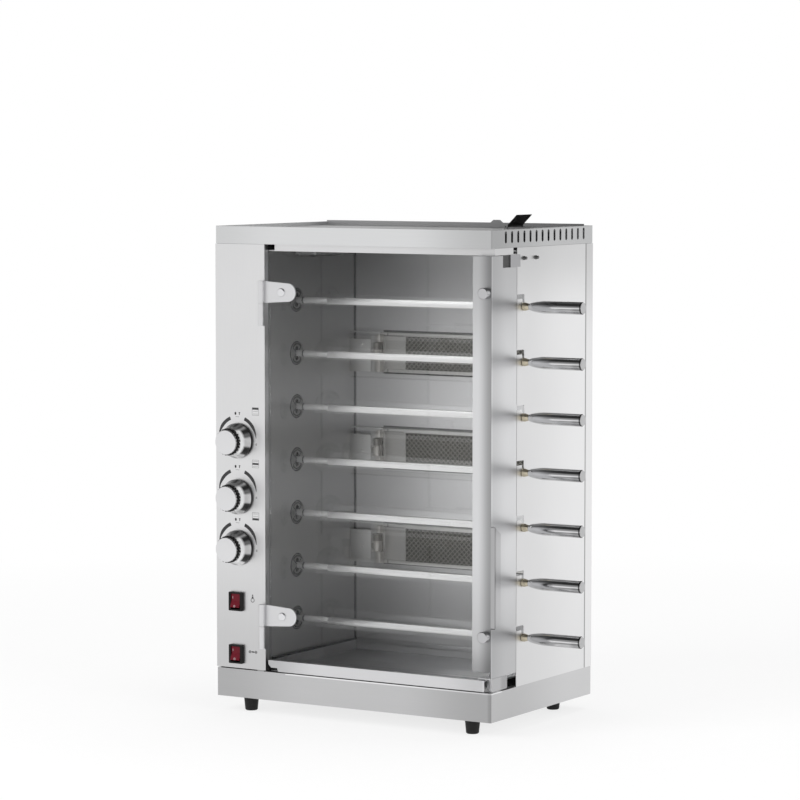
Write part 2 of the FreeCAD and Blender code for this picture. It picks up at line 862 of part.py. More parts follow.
def make_door_glass():
    pane = rounded_box(glass_left, glass_right, glass_front, glass_back, glass_bottom, glass_top,
                       Y_AXIS, corner_radius)
    holes = [bolt_hole_at(clamp_x, z) for z in clamp_heights]
    holes += [bolt_hole_at(arm_screw_x, z) for z in arm_heights]
    return pane.cut(holes)


def make_door_stile():
    notch_bottom = glass_top - catch_notch_height
    face = box(body_width - stile_width, body_width, door_front, glass_front, stile_bottom, glass_top)
    flange = box(skin_inside, body_width, door_front, flange_back, flange_bottom, glass_top)
    fold = box(skin_inside - stile_return, skin_inside, flange_back - sheet, flange_back,
               flange_bottom, notch_bottom)
    notch = box(skin_inside, body_width, catch_notch_start, flange_back, notch_bottom, glass_top)
    strike = box(skin_inside - magnet_width, skin_inside, catch_notch_start - sheet, catch_notch_start,
                 notch_bottom + seam, glass_top)
    holes = [bolt_hole_at(clamp_x, z) for z in clamp_heights]
    return face.fuse([flange, fold, strike]).cut([notch] + holes)


def make_door_pull():
    top = pull_bottom + pull_length
    base = box(body_width, body_width + sheet, door_front, door_front + pull_base, pull_bottom, top)
    web = box(body_width, body_width + pull_stand, door_front, door_front + sheet, pull_bottom, top)
    plate_x = body_width + pull_stand - sheet
    back = door_front + pull_depth
    corners = [Vector(plate_x, door_front, pull_bottom), Vector(plate_x, back, pull_bottom + pull_slant),
               Vector(plate_x, back, top - pull_slant), Vector(plate_x, door_front, top)]
    return base.fuse([web, prism(corners, X_AXIS * sheet)])


def make_hinge_arm(middle):
    bottom = middle - arm_knuckle / 2.0
    top = middle + arm_knuckle / 2.0
    y = glass_front - arm_thickness
    low = Vector(arm_tip_x, y, middle - arm_tip_radius)
    high = Vector(arm_tip_x, y, middle + arm_tip_radius)
    tip = Vector(arm_tip_x + arm_tip_radius, y, middle)
    edges = [Part.LineSegment(Vector(hinge_x, y, bottom), low).toShape(),
             Part.Arc(low, tip, high).toShape(),
             Part.LineSegment(high, Vector(hinge_x, y, top)).toShape(),
             Part.LineSegment(Vector(hinge_x, y, top), Vector(hinge_x, y, bottom)).toShape()]
    arm = Part.Face(Part.Wire(edges)).extrude(Y_AXIS * arm_thickness)
    knuckle = rod(Vector(hinge_x, hinge_y, bottom), Z_AXIS, arm_knuckle, knuckle_radius)
    pin_hole = rod(Vector(hinge_x, hinge_y, bottom), Z_AXIS, pin_length + seam,
                   pin_radius + running_clearance)
    return arm.fuse(knuckle).cut([pin_hole, bolt_hole_at(arm_screw_x, middle)])


def make_door_hinge_arms():
    return Part.Compound([make_hinge_arm(middle) for middle in arm_heights])


def make_hinge_leaves():
    leaves = []
    for bottom in hinge_bottoms:
        top = bottom + fixed_knuckle
        barrel = rod(Vector(hinge_x, hinge_y, bottom), Z_AXIS, fixed_knuckle, knuckle_radius)
        leaf = box(hinge_x - leaf_reach, hinge_x, -leaf_thickness, 0.0, bottom, top)
        pin_start = Vector(hinge_x, hinge_y, top)
        pin = rod(pin_start, Z_AXIS, knuckle_gap + pin_length - seam, pin_radius)
        leaves.append(barrel.fuse([leaf, pin]))
    return Part.Compound(leaves)


def make_bolt(x, z, seat, head_radius, head, edge):
    head_front = seat - head
    nut_end = glass_back + nut_height
    outline = [(head_front, 0.0), (head_front, head_radius - edge), (head_front + edge, head_radius),
               (seat, head_radius), (seat, bolt_radius), (glass_back, bolt_radius),
               (glass_back, nut_radius), (nut_end, nut_radius), (nut_end, 0.0)]
    return revolved(outline, Vector(x, 0.0, z), Y_AXIS)


def make_glass_clamps():
    clamps = [make_bolt(clamp_x, z, door_front, clamp_radius, clamp_head, screw_edge)
              for z in clamp_heights]
    arm_face = glass_front - arm_thickness
    clamps += [make_bolt(arm_screw_x, z, arm_face, screw_head_radius, screw_head, screw_edge)
               for z in arm_heights]
    return Part.Compound(clamps)


def make_catch_bracket():
    bottom = glass_top - catch_notch_height + seam
    plate = box(body_width, body_width + sheet, catch_plate_start, side_panel_front + catch_plate_lap,
                bottom, chamber_ceiling)
    tab = box(body_width - magnet_inset - magnet_width, body_width + sheet, catch_plate_start,
              catch_plate_start + sheet, bottom, chamber_ceiling)
    return plate.fuse(tab)


def make_catch_magnet():
    bottom = glass_top - catch_notch_height + seam
    right = body_width - magnet_inset
    return rounded_box(right - magnet_width, right, catch_notch_start + strike_gap, catch_plate_start,
                       bottom, chamber_ceiling, Y_AXIS, screw_edge)


# Burners

def make_burner_housing(z):
    half = burner_height / 2.0
    body = box(burner_left, burner_right, burner_front, burner_back, z - half, z + half)
    flange_start = chamber_back + sheet
    reach = half + burner_flange
    flange = box(burner_left - burner_flange, burner_right + burner_flange, flange_start,
                 flange_start + sheet, z - reach, z + reach)
    inner = half - burner_rim
    floor = burner_front + burner_recess
    recess = box(burner_left + burner_rim, burner_right - burner_rim, burner_front, floor,
                 z - inner, z + inner)
    plenum_half = inner - mesh_margin
    plenum = box(mesh_left + mesh_margin, mesh_right - mesh_margin, floor, burner_back - burner_wall,
                 z - plenum_half, z + plenum_half)
    return body.fuse(flange).cut([recess, plenum])


def make_burner_housings():
    return Part.Compound([make_burner_housing(z) for z in burner_heights])


def make_burner_meshes():
    back = burner_front + burner_recess
    half = burner_height / 2.0 - burner_rim
    return Part.Compound([box(mesh_left, mesh_right, back - mesh_thickness, back, z - half, z + half)
                          for z in burner_heights])


def make_burner_shields():
    half = burner_height / 2.0
    front = chamber_back - shield_depth
    shields = []
    for z in burner_heights:
        block = box(chamber_left, shield_right, front, chamber_back, z - half, z + half)
        hollow = box(chamber_left, shield_right - sheet, front + sheet, chamber_back,
                     z - half + sheet, z + half - sheet)
        shields.append(block.cut(hollow))
    return Part.Compound(shields)


# A pilot hood with a waist stands beside each burner, above its ceramic electrode.
def make_pilot(z):
    middle = pilot_left + pilot_width / 2.0
    plate = box(pilot_left, pilot_left + pilot_width, chamber_back - sheet, chamber_back,
                z - pilot_height / 2.0, z + pilot_height / 2.0)
    hood_y = chamber_back - pilot_set_off
    outline = [(0.0, 0.0), (0.0, pilot_radius), (pilot_width / 2.0, pilot_waist),
               (pilot_width, pilot_radius), (pilot_width, 0.0)]
    hood = revolved(outline, Vector(pilot_left, hood_y, z + pilot_rise), X_AXIS)
    stem = rod(Vector(middle, hood_y, z + pilot_rise), Y_AXIS, pilot_set_off, pilot_stem)
    plate_face = chamber_back - sheet
    ceramic_end = plate_face - electrode_length
    electrode_z = z - pilot_rise
    ceramic = rod(Vector(middle, ceramic_end, electrode_z), Y_AXIS, electrode_length, electrode_radius)
    tip = rod(Vector(middle, ceramic_end - electrode_tip, electrode_z), Y_AXIS, electrode_tip,
              electrode_tip_radius)
    return [plate.fuse([hood, stem]), ceramic.fuse(tip)]


def make_pilot_burners():
    pieces = []
    for z in burner_heights:
        pieces += make_pilot(z)
    return Part.Compound(pieces)


# Gas train

def make_gas_valves():
    valves = []
    half_width = valve_width / 2.0
    half_height = valve_height / 2.0
    bore_radius = stem_radius + running_clearance
    bore_depth = valve_neck + push_travel + free_clearance
    for z in knob_heights:
        body = rounded_box(knob_x - half_width, knob_x + half_width, valve_front, valve_back,
                           z - half_height, z + half_height, Y_AXIS, valve_edge)
        neck = rod(Vector(knob_x, neck_front, z), Y_AXIS, valve_neck, valve_neck_radius)
        bore = rod(Vector(knob_x, neck_front, z), Y_AXIS, bore_depth, bore_radius)
        valves.append(body.fuse(neck).cut(bore))
    return Part.Compound(valves)


def make_valve_stem(z):
    length = valve_front + stem_front
    return rod(Vector(knob_x, -stem_front, z), Y_AXIS, length, stem_radius)


def knob_grip(z):
    points = []
    pitch = 2.0 * math.pi / flute_count
    half_land = pitch * (1.0 - flute_share) / 2.0
    half_crown = half_land - pitch * flute_share / 2.0
    for index in range(flute_count):
        middle = pitch * index
        turns = [(knob_valley_radius, -half_land), (knob_grip_radius, -half_crown),
                 (knob_grip_radius, half_crown), (knob_valley_radius, half_land)]
        for radius, turn in turns:
            x = knob_x + radius * math.sin(middle + turn)
            points.append(Vector(x, -knob_grip_end, z + radius * math.cos(middle + turn)))
    return prism(points, Y_AXIS * (knob_grip_end - knob_stand - knob_cone))


def make_gas_knob(z):
    centre = Vector(knob_x, 0.0, z)
    skirt_front = -knob_stand - knob_cone
    skirt = revolved([(-knob_stand, 0.0), (-knob_stand, knob_skirt_radius),
                      (-knob_stand - knob_skirt_edge, knob_skirt_radius),
                      (skirt_front, knob_cone_radius), (skirt_front, 0.0)], centre, Y_AXIS)
    cap = rod(Vector(knob_x, -knob_front, z), Y_AXIS, knob_front - knob_grip_end, knob_cap_radius)
    bore = rod(Vector(knob_x, -knob_stand - stem_seat, z), Y_AXIS, stem_seat,
               stem_radius + running_clearance)
    return skirt.fuse([knob_grip(z), cap]).cut(bore)


def make_gas_manifold():
    half = manifold_side / 2.0
    bottom = inlet_height - manifold_overrun
    top = max(knob_heights) + manifold_overrun
    bar = rounded_box(knob_x - half, knob_x + half, manifold_y - half, manifold_y + half, bottom, top,
                      Z_AXIS, manifold_edge)
    collar_start = rear_inside - inlet_collar
    pipe_start = Vector(knob_x, manifold_y, inlet_height)
    pipe = rod(pipe_start, Y_AXIS, collar_start - manifold_y, inlet_pipe_radius)
    collar = rod(Vector(knob_x, collar_start, inlet_height), Y_AXIS, inlet_collar, inlet_collar_radius)
    neck = rod(Vector(knob_x, rear_inside, inlet_height), Y_AXIS, sheet, inlet_radius - inlet_step)
    spigot = rod(Vector(knob_x, body_depth, inlet_height), Y_AXIS, inlet_length, inlet_radius)
    bore_depth = inlet_length + sheet
    bore = rod(Vector(knob_x, body_depth + inlet_length - bore_depth, inlet_height), Y_AXIS, bore_depth,
               inlet_pipe_radius)
    return bar.fuse([pipe, collar, neck, spigot]).cut(bore)


# Each pipe leaves its valve on the left and runs behind the chamber to the burner's end.
def make_burner_pipes():
    pipes = []
    valve_left = knob_x - valve_width / 2.0
    y_back = chamber_back + pipe_back
    for knob_z, burner_z in zip(knob_heights, burner_heights):
        route = [Vector(valve_left, pipe_y, knob_z), Vector(pipe_x, pipe_y, knob_z),
                 Vector(pipe_x, pipe_y, burner_z), Vector(pipe_x, y_back, burner_z),
                 Vector(burner_left, y_back, burner_z)]
        pipes.append(mitred_pipe(route, pipe_radius))
    return Part.Compound(pipes)


# Switches, lamp and cord gland

def make_switch_bezel(z):
    half_width = bezel_width / 2.0
    half_height = bezel_height / 2.0
    front = rounded_box(switch_x - half_width, switch_x + half_width, -bezel_proud, 0.0,
                        z - half_height, z + half_height, Y_AXIS, bezel_edge)
    body = box(switch_x - switch_body_width / 2.0, switch_x + switch_body_width / 2.0, 0.0,
               switch_body_depth, z - switch_body_height / 2.0, z + switch_body_height / 2.0)
    pocket = box(switch_x - window_width / 2.0, switch_x + window_width / 2.0, -bezel_proud,
                 pocket_depth, z - window_height / 2.0, z + window_height / 2.0)
    pin_length_total = window_width + 2.0 * (rocker_pin + slot_play)
    pin_hole = rod(Vector(switch_x - pin_length_total / 2.0, rocker_pivot, z), X_AXIS,
                   pin_length_total, rocker_pin_radius + running_clearance)
    return front.fuse(body).cut([pocket, pin_hole])


def make_switch_bezels():
    return Part.Compound([make_switch_bezel(z) for z in switch_heights])


# The rocker rests with its upper end pressed in.
def make_rocker(z):
    half_width = window_width / 2.0 - slot_play
    outline = [(-rocker_front, -rocker_half), (-rocker_waist, 0.0), (-rocker_front, rocker_half),
               (-rocker_shoulder, rocker_half), (rocker_heel, rocker_foot),
               (rocker_heel, -rocker_foot), (-rocker_shoulder, -rocker_half)]
    points = [Vector(switch_x - half_width, rocker_pivot + y, z + height) for y, height in outline]
    key = prism(points, X_AXIS * (2.0 * half_width))
    reach = half_width + rocker_pin
    pin = rod(Vector(switch_x - reach, rocker_pivot, z), X_AXIS, 2.0 * reach, rocker_pin_radius)
    rocker = key.fuse(pin)
    rocker.rotate(Vector(switch_x, rocker_pivot, z), X_AXIS, -rocker_tilt)
    return rocker


def make_lamp_frame():
    right = lamp_left + lamp_width
    back = lamp_front + lamp_length
    bottom = chamber_ceiling - lamp_frame_height
    block = rounded_box(lamp_left, right, lamp_front, back, bottom, chamber_ceiling, Z_AXIS,
                        corner_radius)
    window = box(lamp_left + lamp_frame_wall, right - lamp_frame_wall, lamp_front + lamp_frame_wall,
                 back - lamp_frame_wall, bottom, chamber_ceiling)
    return block.cut(window)


def make_lamp_lens():
    right = lamp_left + lamp_width - lamp_frame_wall
    back = lamp_front + lamp_length - lamp_frame_wall
    bottom = chamber_ceiling - lens_height
    block = box(lamp_left + lamp_frame_wall, right, lamp_front + lamp_frame_wall, back, bottom,
                chamber_ceiling)
    low_edges = [edge for edge in block.Edges if edge.BoundBox.ZMax < bottom + seam]
    return block.makeChamfer(lens_edge, low_edges)


def make_cable_gland():
    outside = body_depth + gland_length
    bore_floor = outside - gland_bore_depth
    outline = [(rear_inside - gland_nut, 0.0), (rear_inside - gland_nut, gland_radius),
               (rear_inside, gland_radius), (rear_inside, gland_thread_radius),
               (body_depth, gland_thread_radius), (body_depth, gland_radius),
               (body_depth + gland_length / 2.0, gland_radius), (outside, gland_thread_radius),
               (outside, gland_bore), (bore_floor, gland_bore), (bore_floor, 0.0)]
    return revolved(outline, Vector(gland_x, 0.0, gland_height), Y_AXIS)


# Every node and the shape that goes into it

def make_nodes():
    nodes = {
        "base_plinth": make_base_plinth(),
        "rubber_feet": make_rubber_feet(),
        "left_side_panel": make_left_side_panel(),
        "control_panel": make_control_panel(),
        "left_inner_wall": make_left_inner_wall(),
        "back_inner_wall": make_back_inner_wall(),
        "rear_panel": make_rear_panel(),
        "right_side_panel": make_right_side_panel(),
        "top_cap": make_top_cap(),
        "top_plate": make_top_plate(),
        "flue_damper": make_flue_damper(),
        "ceiling_panel": make_ceiling_panel(),
        "tray_runners": make_tray_runners(),
        "drip_tray": make_drip_tray(),
        "drive_bearings": make_drive_bearings(),
        "motor_pinion": make_motor_pinion(),
        "motor_bracket": make_motor_bracket(),
        "gearmotor": make_gearmotor(),
        "door_glass": make_door_glass(),
        "door_stile": make_door_stile(),
        "door_pull": make_door_pull(),
        "door_hinge_arms": make_door_hinge_arms(),
        "hinge_leaves": make_hinge_leaves(),
        "glass_clamps": make_glass_clamps(),
        "catch_bracket": make_catch_bracket(),
        "catch_magnet": make_catch_magnet(),
        "burner_housings": make_burner_housings(),
        "burner_meshes": make_burner_meshes(),
        "burner_shields": make_burner_shields(),
        "pilot_burners": make_pilot_burners(),
        "gas_valves": make_gas_valves(),
        "gas_manifold": make_gas_manifold(),
        "burner_pipes": make_burner_pipes(),
        "switch_bezels": make_switch_bezels(),
        "lamp_rocker": make_rocker(switch_heights[0]),
        "motor_rocker": make_rocker(switch_heights[1]),
        "lamp_frame": make_lamp_frame(),
        "lamp_lens": make_lamp_lens(),
        "cable_gland": make_cable_gland(),
    }
    for index, z in enumerate(spit_heights):
        nodes["spit_" + str(index + 1)] = make_spit(z)
        nodes["drive_gear_" + str(index + 1)] = make_drive_gear(index)
    for index, z in enumerate(knob_heights):
        nodes["gas_knob_" + str(index + 1)] = make_gas_knob(z)
        nodes["valve_stem_" + str(index + 1)] = make_valve_stem(z)
    return nodes


def save(name, shape):
    tidy = Part.Compound([solid.removeSplitter() for solid in shape.Solids])
    tidy.translate(floor_centre)
    tidy.exportStep("parts/" + name + ".step")


for node_name, node_shape in make_nodes().items():
    save(node_name, node_shape)
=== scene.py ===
"""Looks of the vertical gas rotisserie: finishes, finer spits and knobs, dial prints, studio."""

import logging
import math
from dataclasses import dataclass
from enum import Enum
from typing import Iterable, Iterator, Optional

import bpy
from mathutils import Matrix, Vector


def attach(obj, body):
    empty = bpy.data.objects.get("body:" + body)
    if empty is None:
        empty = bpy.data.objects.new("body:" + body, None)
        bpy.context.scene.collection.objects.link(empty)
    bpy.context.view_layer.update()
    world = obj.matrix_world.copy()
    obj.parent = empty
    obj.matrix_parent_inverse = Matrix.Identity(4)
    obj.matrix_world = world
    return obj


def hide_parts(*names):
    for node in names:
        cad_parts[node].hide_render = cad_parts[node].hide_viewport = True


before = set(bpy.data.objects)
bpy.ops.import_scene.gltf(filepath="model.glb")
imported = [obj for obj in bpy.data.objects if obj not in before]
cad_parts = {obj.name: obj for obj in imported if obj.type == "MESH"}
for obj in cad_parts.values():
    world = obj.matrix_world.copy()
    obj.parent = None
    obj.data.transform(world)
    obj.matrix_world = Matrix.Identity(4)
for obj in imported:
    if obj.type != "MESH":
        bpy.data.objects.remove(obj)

logging.basicConfig(level=logging.INFO, format="%(message)s")
log = logging.getLogger("rotisserie")

Colour = tuple[float, float, float]
Section = tuple[float, float]
Spot = tuple[float, float, float]
Lump = tuple[str, Spot, Spot, float]
Stroke = tuple[float, float, float, float]

# The height of one row and the pitch to the next, in casing millimetres.
HANDLE_ROWS: Section = (136.5, 98.0)
BURNER_ROWS: Section = (261.0, 180.0)

WHITE: Colour = (1.0, 1.0, 1.0)

FLOOR_CENTRE = Vector((350.05, 174.0, -27.0))
SMOOTH_ANGLE = math.radians(32.0)


def at(x: float, y: float, z: float) -> Vector:
    """Turns casing millimetres into metres in the row frame.

    Args:
        x: Distance from the casing's left side.
        y: Distance behind the casing's front.
        z: Height above the plinth's underside.

    Returns:
        The same point in the row frame.
    """
    return (Vector((x, y, z)) - FLOOR_CENTRE) / 1000.0


def mm(length: float) -> float:
    """Turns millimetres into metres."""
    return length / 1000.0


class Axis(Enum):
    """The way that a turned piece points."""

    RIGHT = (1.0, 0.0, 0.0)
    FRONT = (0.0, -1.0, 0.0)
    BACK = (0.0, 1.0, 0.0)
    UP = (0.0, 0.0, 1.0)

    @property
    def vector(self) -> Vector:
        """The axis as a vector."""
        return Vector(self.value)

    @property
    def rotation(self) -> tuple[float, float, float]:
        """The turn that points a flat circle along the axis."""
        return tuple(self.vector.to_track_quat("Z", "Y").to_euler())


class Bench:
    """The modelling steps that the sub-assemblies share, each done in edit mode."""

    @staticmethod
    def clear() -> None:
        """Leaves edit mode and deselects everything."""
        active = bpy.context.object
        if active is not None and active.mode != "OBJECT":
            bpy.ops.object.mode_set(mode="OBJECT")
        bpy.ops.object.select_all(action="DESELECT")

    @staticmethod
    def settle(name: str) -> bpy.types.Object:
        """Names the new object and puts its place into its mesh.

        Args:
            name: The piece's name.

        Returns:
            The named piece, with its object at the origin.
        """
        piece = bpy.context.object
        piece.name = name
        piece.data.name = name
        bpy.ops.object.transform_apply(location=True, rotation=True, scale=True)
        return piece

    @staticmethod
    def hold(piece: bpy.types.Object) -> None:
        """Makes one piece the only selected and active one."""
        Bench.clear()
        piece.select_set(True)
        bpy.context.view_layer.objects.active = piece

    @staticmethod
    def modify(piece: bpy.types.Object, kind: str, **settings: object) -> None:
        """Adds a modifier to a piece and applies it.

        Args:
            piece: The piece to change.
            kind: The modifier's type.
            settings: The modifier's own values.
        """
        Bench.hold(piece)
        modifier = piece.modifiers.new(kind.title(), kind)
        for name, value in settings.items():
            setattr(modifier, name, value)
        bpy.ops.object.modifier_apply(modifier=modifier.name)

    @staticmethod
    def soften(piece: bpy.types.Object, width: float, segments: int = 2) -> None:
        """Bevels the piece's sharp edges and smooths its round faces.

        Args:
            piece: The piece to finish.
            width: The bevel's width in millimetres.
            segments: How many faces round each edge.
        """
        Bench.modify(piece, "BEVEL", width=mm(width), segments=segments, limit_method="ANGLE",
                     angle_limit=SMOOTH_ANGLE)
        Bench.smooth(piece)

    @staticmethod
    def smooth(piece: bpy.types.Object) -> None:
        """Smooths the faces that meet at less than the smoothing angle."""
        Bench.hold(piece)
        bpy.ops.object.shade_smooth_by_angle(angle=SMOOTH_ANGLE)

    @staticmethod
    def turned(name: str, start: Vector, axis: Axis, sections: list[Section], sides: int = 48,
               soft: float = 0.0) -> bpy.types.Object:
        """Extrudes a circle section by section, as on a lathe.

        Args:
            name: The piece's name.
            start: The point on the axis that the sections are measured from.
            axis: The way that the sections run.
            sections: Pairs of a distance along the axis and a radius, in millimetres.
            sides: How many sides the circle has.
            soft: The width of the bevel on its edges, in millimetres.

        Returns:
            The closed piece.
        """
        Bench.clear()
        along, radius = sections[0]
        place = start + axis.vector * mm(along)
        bpy.ops.mesh.primitive_circle_add(vertices=sides, radius=mm(radius), fill_type="NGON",
                                          location=place, rotation=axis.rotation)
        piece = Bench.settle(name)
        bpy.ops.object.mode_set(mode="EDIT")
        bpy.ops.mesh.select_mode(type="FACE")
        bpy.ops.mesh.select_all(action="SELECT")
        for next_along, next_radius in sections[1:]:
            step = axis.vector * mm(next_along - along)
            bpy.ops.mesh.extrude_region_move(TRANSFORM_OT_translate={"value": tuple(step)})
            scale = next_radius / radius
            middle = start + axis.vector * mm(next_along)
            bpy.ops.transform.resize(value=(scale, scale, scale), center_override=tuple(middle))
            along, radius = next_along, next_radius
        bpy.ops.mesh.select_all(action="SELECT")
        bpy.ops.mesh.normals_make_consistent(inside=False)
        bpy.ops.object.mode_set(mode="OBJECT")
        if soft:
            Bench.soften(piece, soft)
        else:
            Bench.smooth(piece)
        return piece

    @staticmethod
    def block(name: str, low: Vector, high: Vector, soft: float = 0.0) -> bpy.types.Object:
        """Adds a box between two corners and bevels it.

        Args:
            name: The piece's name.
            low: Its lowest corner in the row frame.
            high: Its highest corner in the row frame.
            soft: The width of the bevel on its edges, in millimetres.

        Returns:
            The closed piece.
        """
        Bench.clear()
        bpy.ops.mesh.primitive_cube_add(size=1.0, location=(low + high) / 2.0, scale=high - low)
        piece = Bench.settle(name)
        if soft:
            Bench.soften(piece, soft)
        return piece

    @staticmethod
    def lump(name: str, centre: Vector, low: Spot, high: Spot, soft: float) -> bpy.types.Object:
        """Adds a bevelled box whose corners are measured from a centre, in millimetres."""
        corners = [centre + Vector([mm(part) for part in corner]) for corner in (low, high)]
        return Bench.block(name, *corners, soft=soft)

    @staticmethod
    def band(name: str, centre: Vector, radii: Section, start: float, turn: float,
             thickness: float, tip: float = 1.0) -> bpy.types.Object:
        """Spins a small plate into an arc that faces the front.

        Args:
            name: The piece's name.
            centre: The middle of the arc, on the face that it is printed on.
            radii: Its inner and outer radius in millimetres.
            start: The angle of its first end, in degrees clockwise from the top.
            turn: How far it runs, in degrees.
            thickness: How far it stands off its face, in millimetres.
            tip: The share of its width that is left at its far end.

        Returns:
            The closed arc.
        """
        Bench.clear()
        inner, outer = radii
        place = centre + Vector((0.0, -mm(thickness) / 2.0, mm((inner + outer) / 2.0)))
        size = Vector((1.0, mm(thickness), mm(outer - inner)))
        bpy.ops.mesh.primitive_plane_add(size=1.0, location=place, rotation=(0.0, math.pi / 2.0, 0.0))
        piece = Bench.settle(name)
        bpy.ops.object.mode_set(mode="EDIT")
        bpy.ops.mesh.select_all(action="SELECT")
        bpy.ops.transform.resize(value=tuple(size), center_override=tuple(place))
        steps = max(4, int(abs(turn) / 3.0))
        bpy.ops.mesh.spin(steps=steps, angle=-math.radians(turn), center=tuple(centre),
                          axis=(0.0, 1.0, 0.0))
        bpy.ops.mesh.select_all(action="SELECT")
        bpy.ops.mesh.remove_doubles(threshold=1e-6)
        bpy.ops.mesh.normals_make_consistent(inside=False)
        bpy.ops.object.mode_set(mode="OBJECT")
        middle = mm((inner + outer) / 2.0)
        for vertex in piece.data.vertices:
            arm = vertex.co - centre
            angle = abs(math.degrees(math.atan2(arm.x, arm.z)))
            late = max(0.0, min(1.0, (angle / abs(turn) - 0.5) / 0.5))
            share = 1.0 + (tip - 1.0) * late
            reach = Vector((arm.x, 0.0, arm.z))
            fresh = reach.normalized() * (middle + (reach.length - middle) * share)
            vertex.co = centre + Vector((fresh.x, arm.y, fresh.z))
        Bench.rotate(piece, start, centre, Axis.BACK)
        return piece

    @staticmethod
    def rotate(piece: bpy.types.Object, degrees: float, centre: Vector, axis: Axis) -> None:
        """Turns a piece's mesh about an axis through a point.

        Args:
            piece: The piece to turn.
            degrees: How far it turns.
            centre: A point on the axis.
            axis: The axis.
        """
        Bench.hold(piece)
        bpy.ops.object.mode_set(mode="EDIT")
        bpy.ops.mesh.select_all(action="SELECT")
        letter = "XYZ"[[abs(part) for part in axis.value].index(1.0)]
        bpy.ops.transform.rotate(value=-math.radians(degrees), orient_axis=letter,
                                 center_override=tuple(centre))
        bpy.ops.object.mode_set(mode="OBJECT")

    @staticmethod
    def copy(piece: bpy.types.Object, name: str, move: Vector) -> bpy.types.Object:
        """Copies a piece with its own mesh and moves the copy.

        Args:
            piece: The piece to copy.
            name: The copy's name.
            move: How far it moves, in metres.

        Returns:
            The copy, with its object at the origin.
        """
        Bench.hold(piece)
        bpy.ops.object.duplicate(linked=False)
        bpy.ops.transform.translate(value=tuple(move))
        return Bench.settle(name)

    @staticmethod
    def column(piece: bpy.types.Object, name: str,
               rises: Iterable[float]) -> Iterator[tuple[int, bpy.types.Object]]:
        """Copies a piece up or down a column, each copy made when it is asked for.

        Args:
            piece: The first piece, which stays in its place.
            name: The copies' name, with {} for the number.
            rises: How far each one lies above the first, in millimetres.

        Returns:
            Each one's number and piece, from the first on.
        """
        for index, rise in enumerate(rises, start=1):
            if index == 1:
                yield index, piece
            else:
                yield index, Bench.copy(piece, name.format(index), Vector((0.0, 0.0, mm(rise))))

    @staticmethod
    def join(name: str, pieces: Iterable[bpy.types.Object]) -> bpy.types.Object:
        """Joins pieces into one.

        Args:
            name: The joined piece's name.
            pieces: The pieces to join.

        Returns:
            The joined piece.
        """
        Bench.clear()
        chosen = list(pieces)
        for piece in chosen:
            piece.select_set(True)
        bpy.context.view_layer.objects.active = chosen[0]
        bpy.ops.object.join()
        joined = bpy.context.object
        joined.name = name
        joined.data.name = name
        return joined


@dataclass
class Board:
    """A node tree that is filled one node at a time."""

    tree: bpy.types.NodeTree

    def node(self, kind: str, inputs: Optional[dict] = None, **settings: object) -> bpy.types.Node:
        """Adds a node, sets its values and links what feeds it.

        Args:
            kind: The node's type.
            inputs: Input names or numbers, each with a value or the socket that feeds it.
            settings: The node's own values.

        Returns:
            The new node.
        """
        made = self.tree.nodes.new(kind)
        for name, value in settings.items():
            setattr(made, name, value)
        self.fill(made, inputs or {})
        return made

    def fill(self, made: bpy.types.Node, inputs: dict) -> None:
        """Sets a node's inputs, each to a value or to the socket that feeds it."""
        for key, value in inputs.items():
            if isinstance(value, bpy.types.NodeSocket):
                self.tree.links.new(value, made.inputs[key])
            else:
                made.inputs[key].default_value = value

    def ranged(self, value: bpy.types.NodeSocket, low: float, high: float,
               start: float = 0.0, end: float = 1.0) -> bpy.types.NodeSocket:
        """Maps a mask to a range.

        Args:
            value: The mask.
            low: The result at the mask's start.
            high: The result at the mask's end.
            start: The mask's lowest value.
            end: The mask's highest value.

        Returns:
            The mapped value.
        """
        made = self.node("ShaderNodeMapRange", {"Value": value, "From Min": start, "From Max": end,
                                                "To Min": low, "To Max": high})
        return made.outputs["Result"]

    def mixed(self, mask: bpy.types.NodeSocket, first: object, second: object,
              blend: str = "MIX") -> bpy.types.NodeSocket:
        """Mixes two colours by a mask.

        Args:
            mask: The share of the second colour.
            first: A colour or the socket that gives it.
            second: A colour or the socket that gives it.
            blend: The way that they mix.

        Returns:
            The mixed colour.
        """
        made = self.node("ShaderNodeMix", {0: mask, 6: first, 7: second}, data_type="RGBA",
                         blend_type=blend)
        return made.outputs[2]

    def math(self, operation: str, *values: object) -> bpy.types.NodeSocket:
        """Adds a sum.

        Args:
            operation: What is worked out.
            values: Numbers or the sockets that give them.

        Returns:
            The result.
        """
        made = self.node("ShaderNodeMath", dict(enumerate(values)), operation=operation)
        return made.outputs[0]


class Surface(Board):
    """The node tree of a new surface material."""

    def __init__(self, name: str) -> None:
        """Makes the material and finds its shader and the place on the surface."""
        self.material = bpy.data.materials.new(name)
        self.material.use_nodes = True
        super().__init__(self.material.node_tree)
        self.shader = self.tree.nodes["Principled BSDF"]
        self.place = self.node("ShaderNodeTexCoord").outputs["Object"]

    def effect(self, tree: bpy.types.NodeTree, place: bpy.types.NodeSocket,
               **numbers: float) -> bpy.types.NodeSocket:
        """Places a shared effect.

        Args:
            tree: The effect's node group.
            place: Where on the surface it is read.
            numbers: The effect's own values.

        Returns:
            Its mask.
        """
        made = self.node("ShaderNodeGroup", {"Place": place, **numbers}, node_tree=tree)
        return made.outputs["Mask"]

    def bump(self, height: bpy.types.NodeSocket, strength: float,
             distance: float) -> bpy.types.NodeSocket:
        """Turns a height into a fine relief."""
        made = self.node("ShaderNodeBump", {"Height": height, "Strength": strength,
                                            "Distance": distance})
        return made.outputs[0]

    def about(self, mask: bpy.types.NodeSocket, middle: float, below: float,
              above: float) -> bpy.types.NodeSocket:
        """Varies a number about its middle by a mask."""
        return self.ranged(mask, middle - below, middle + above)


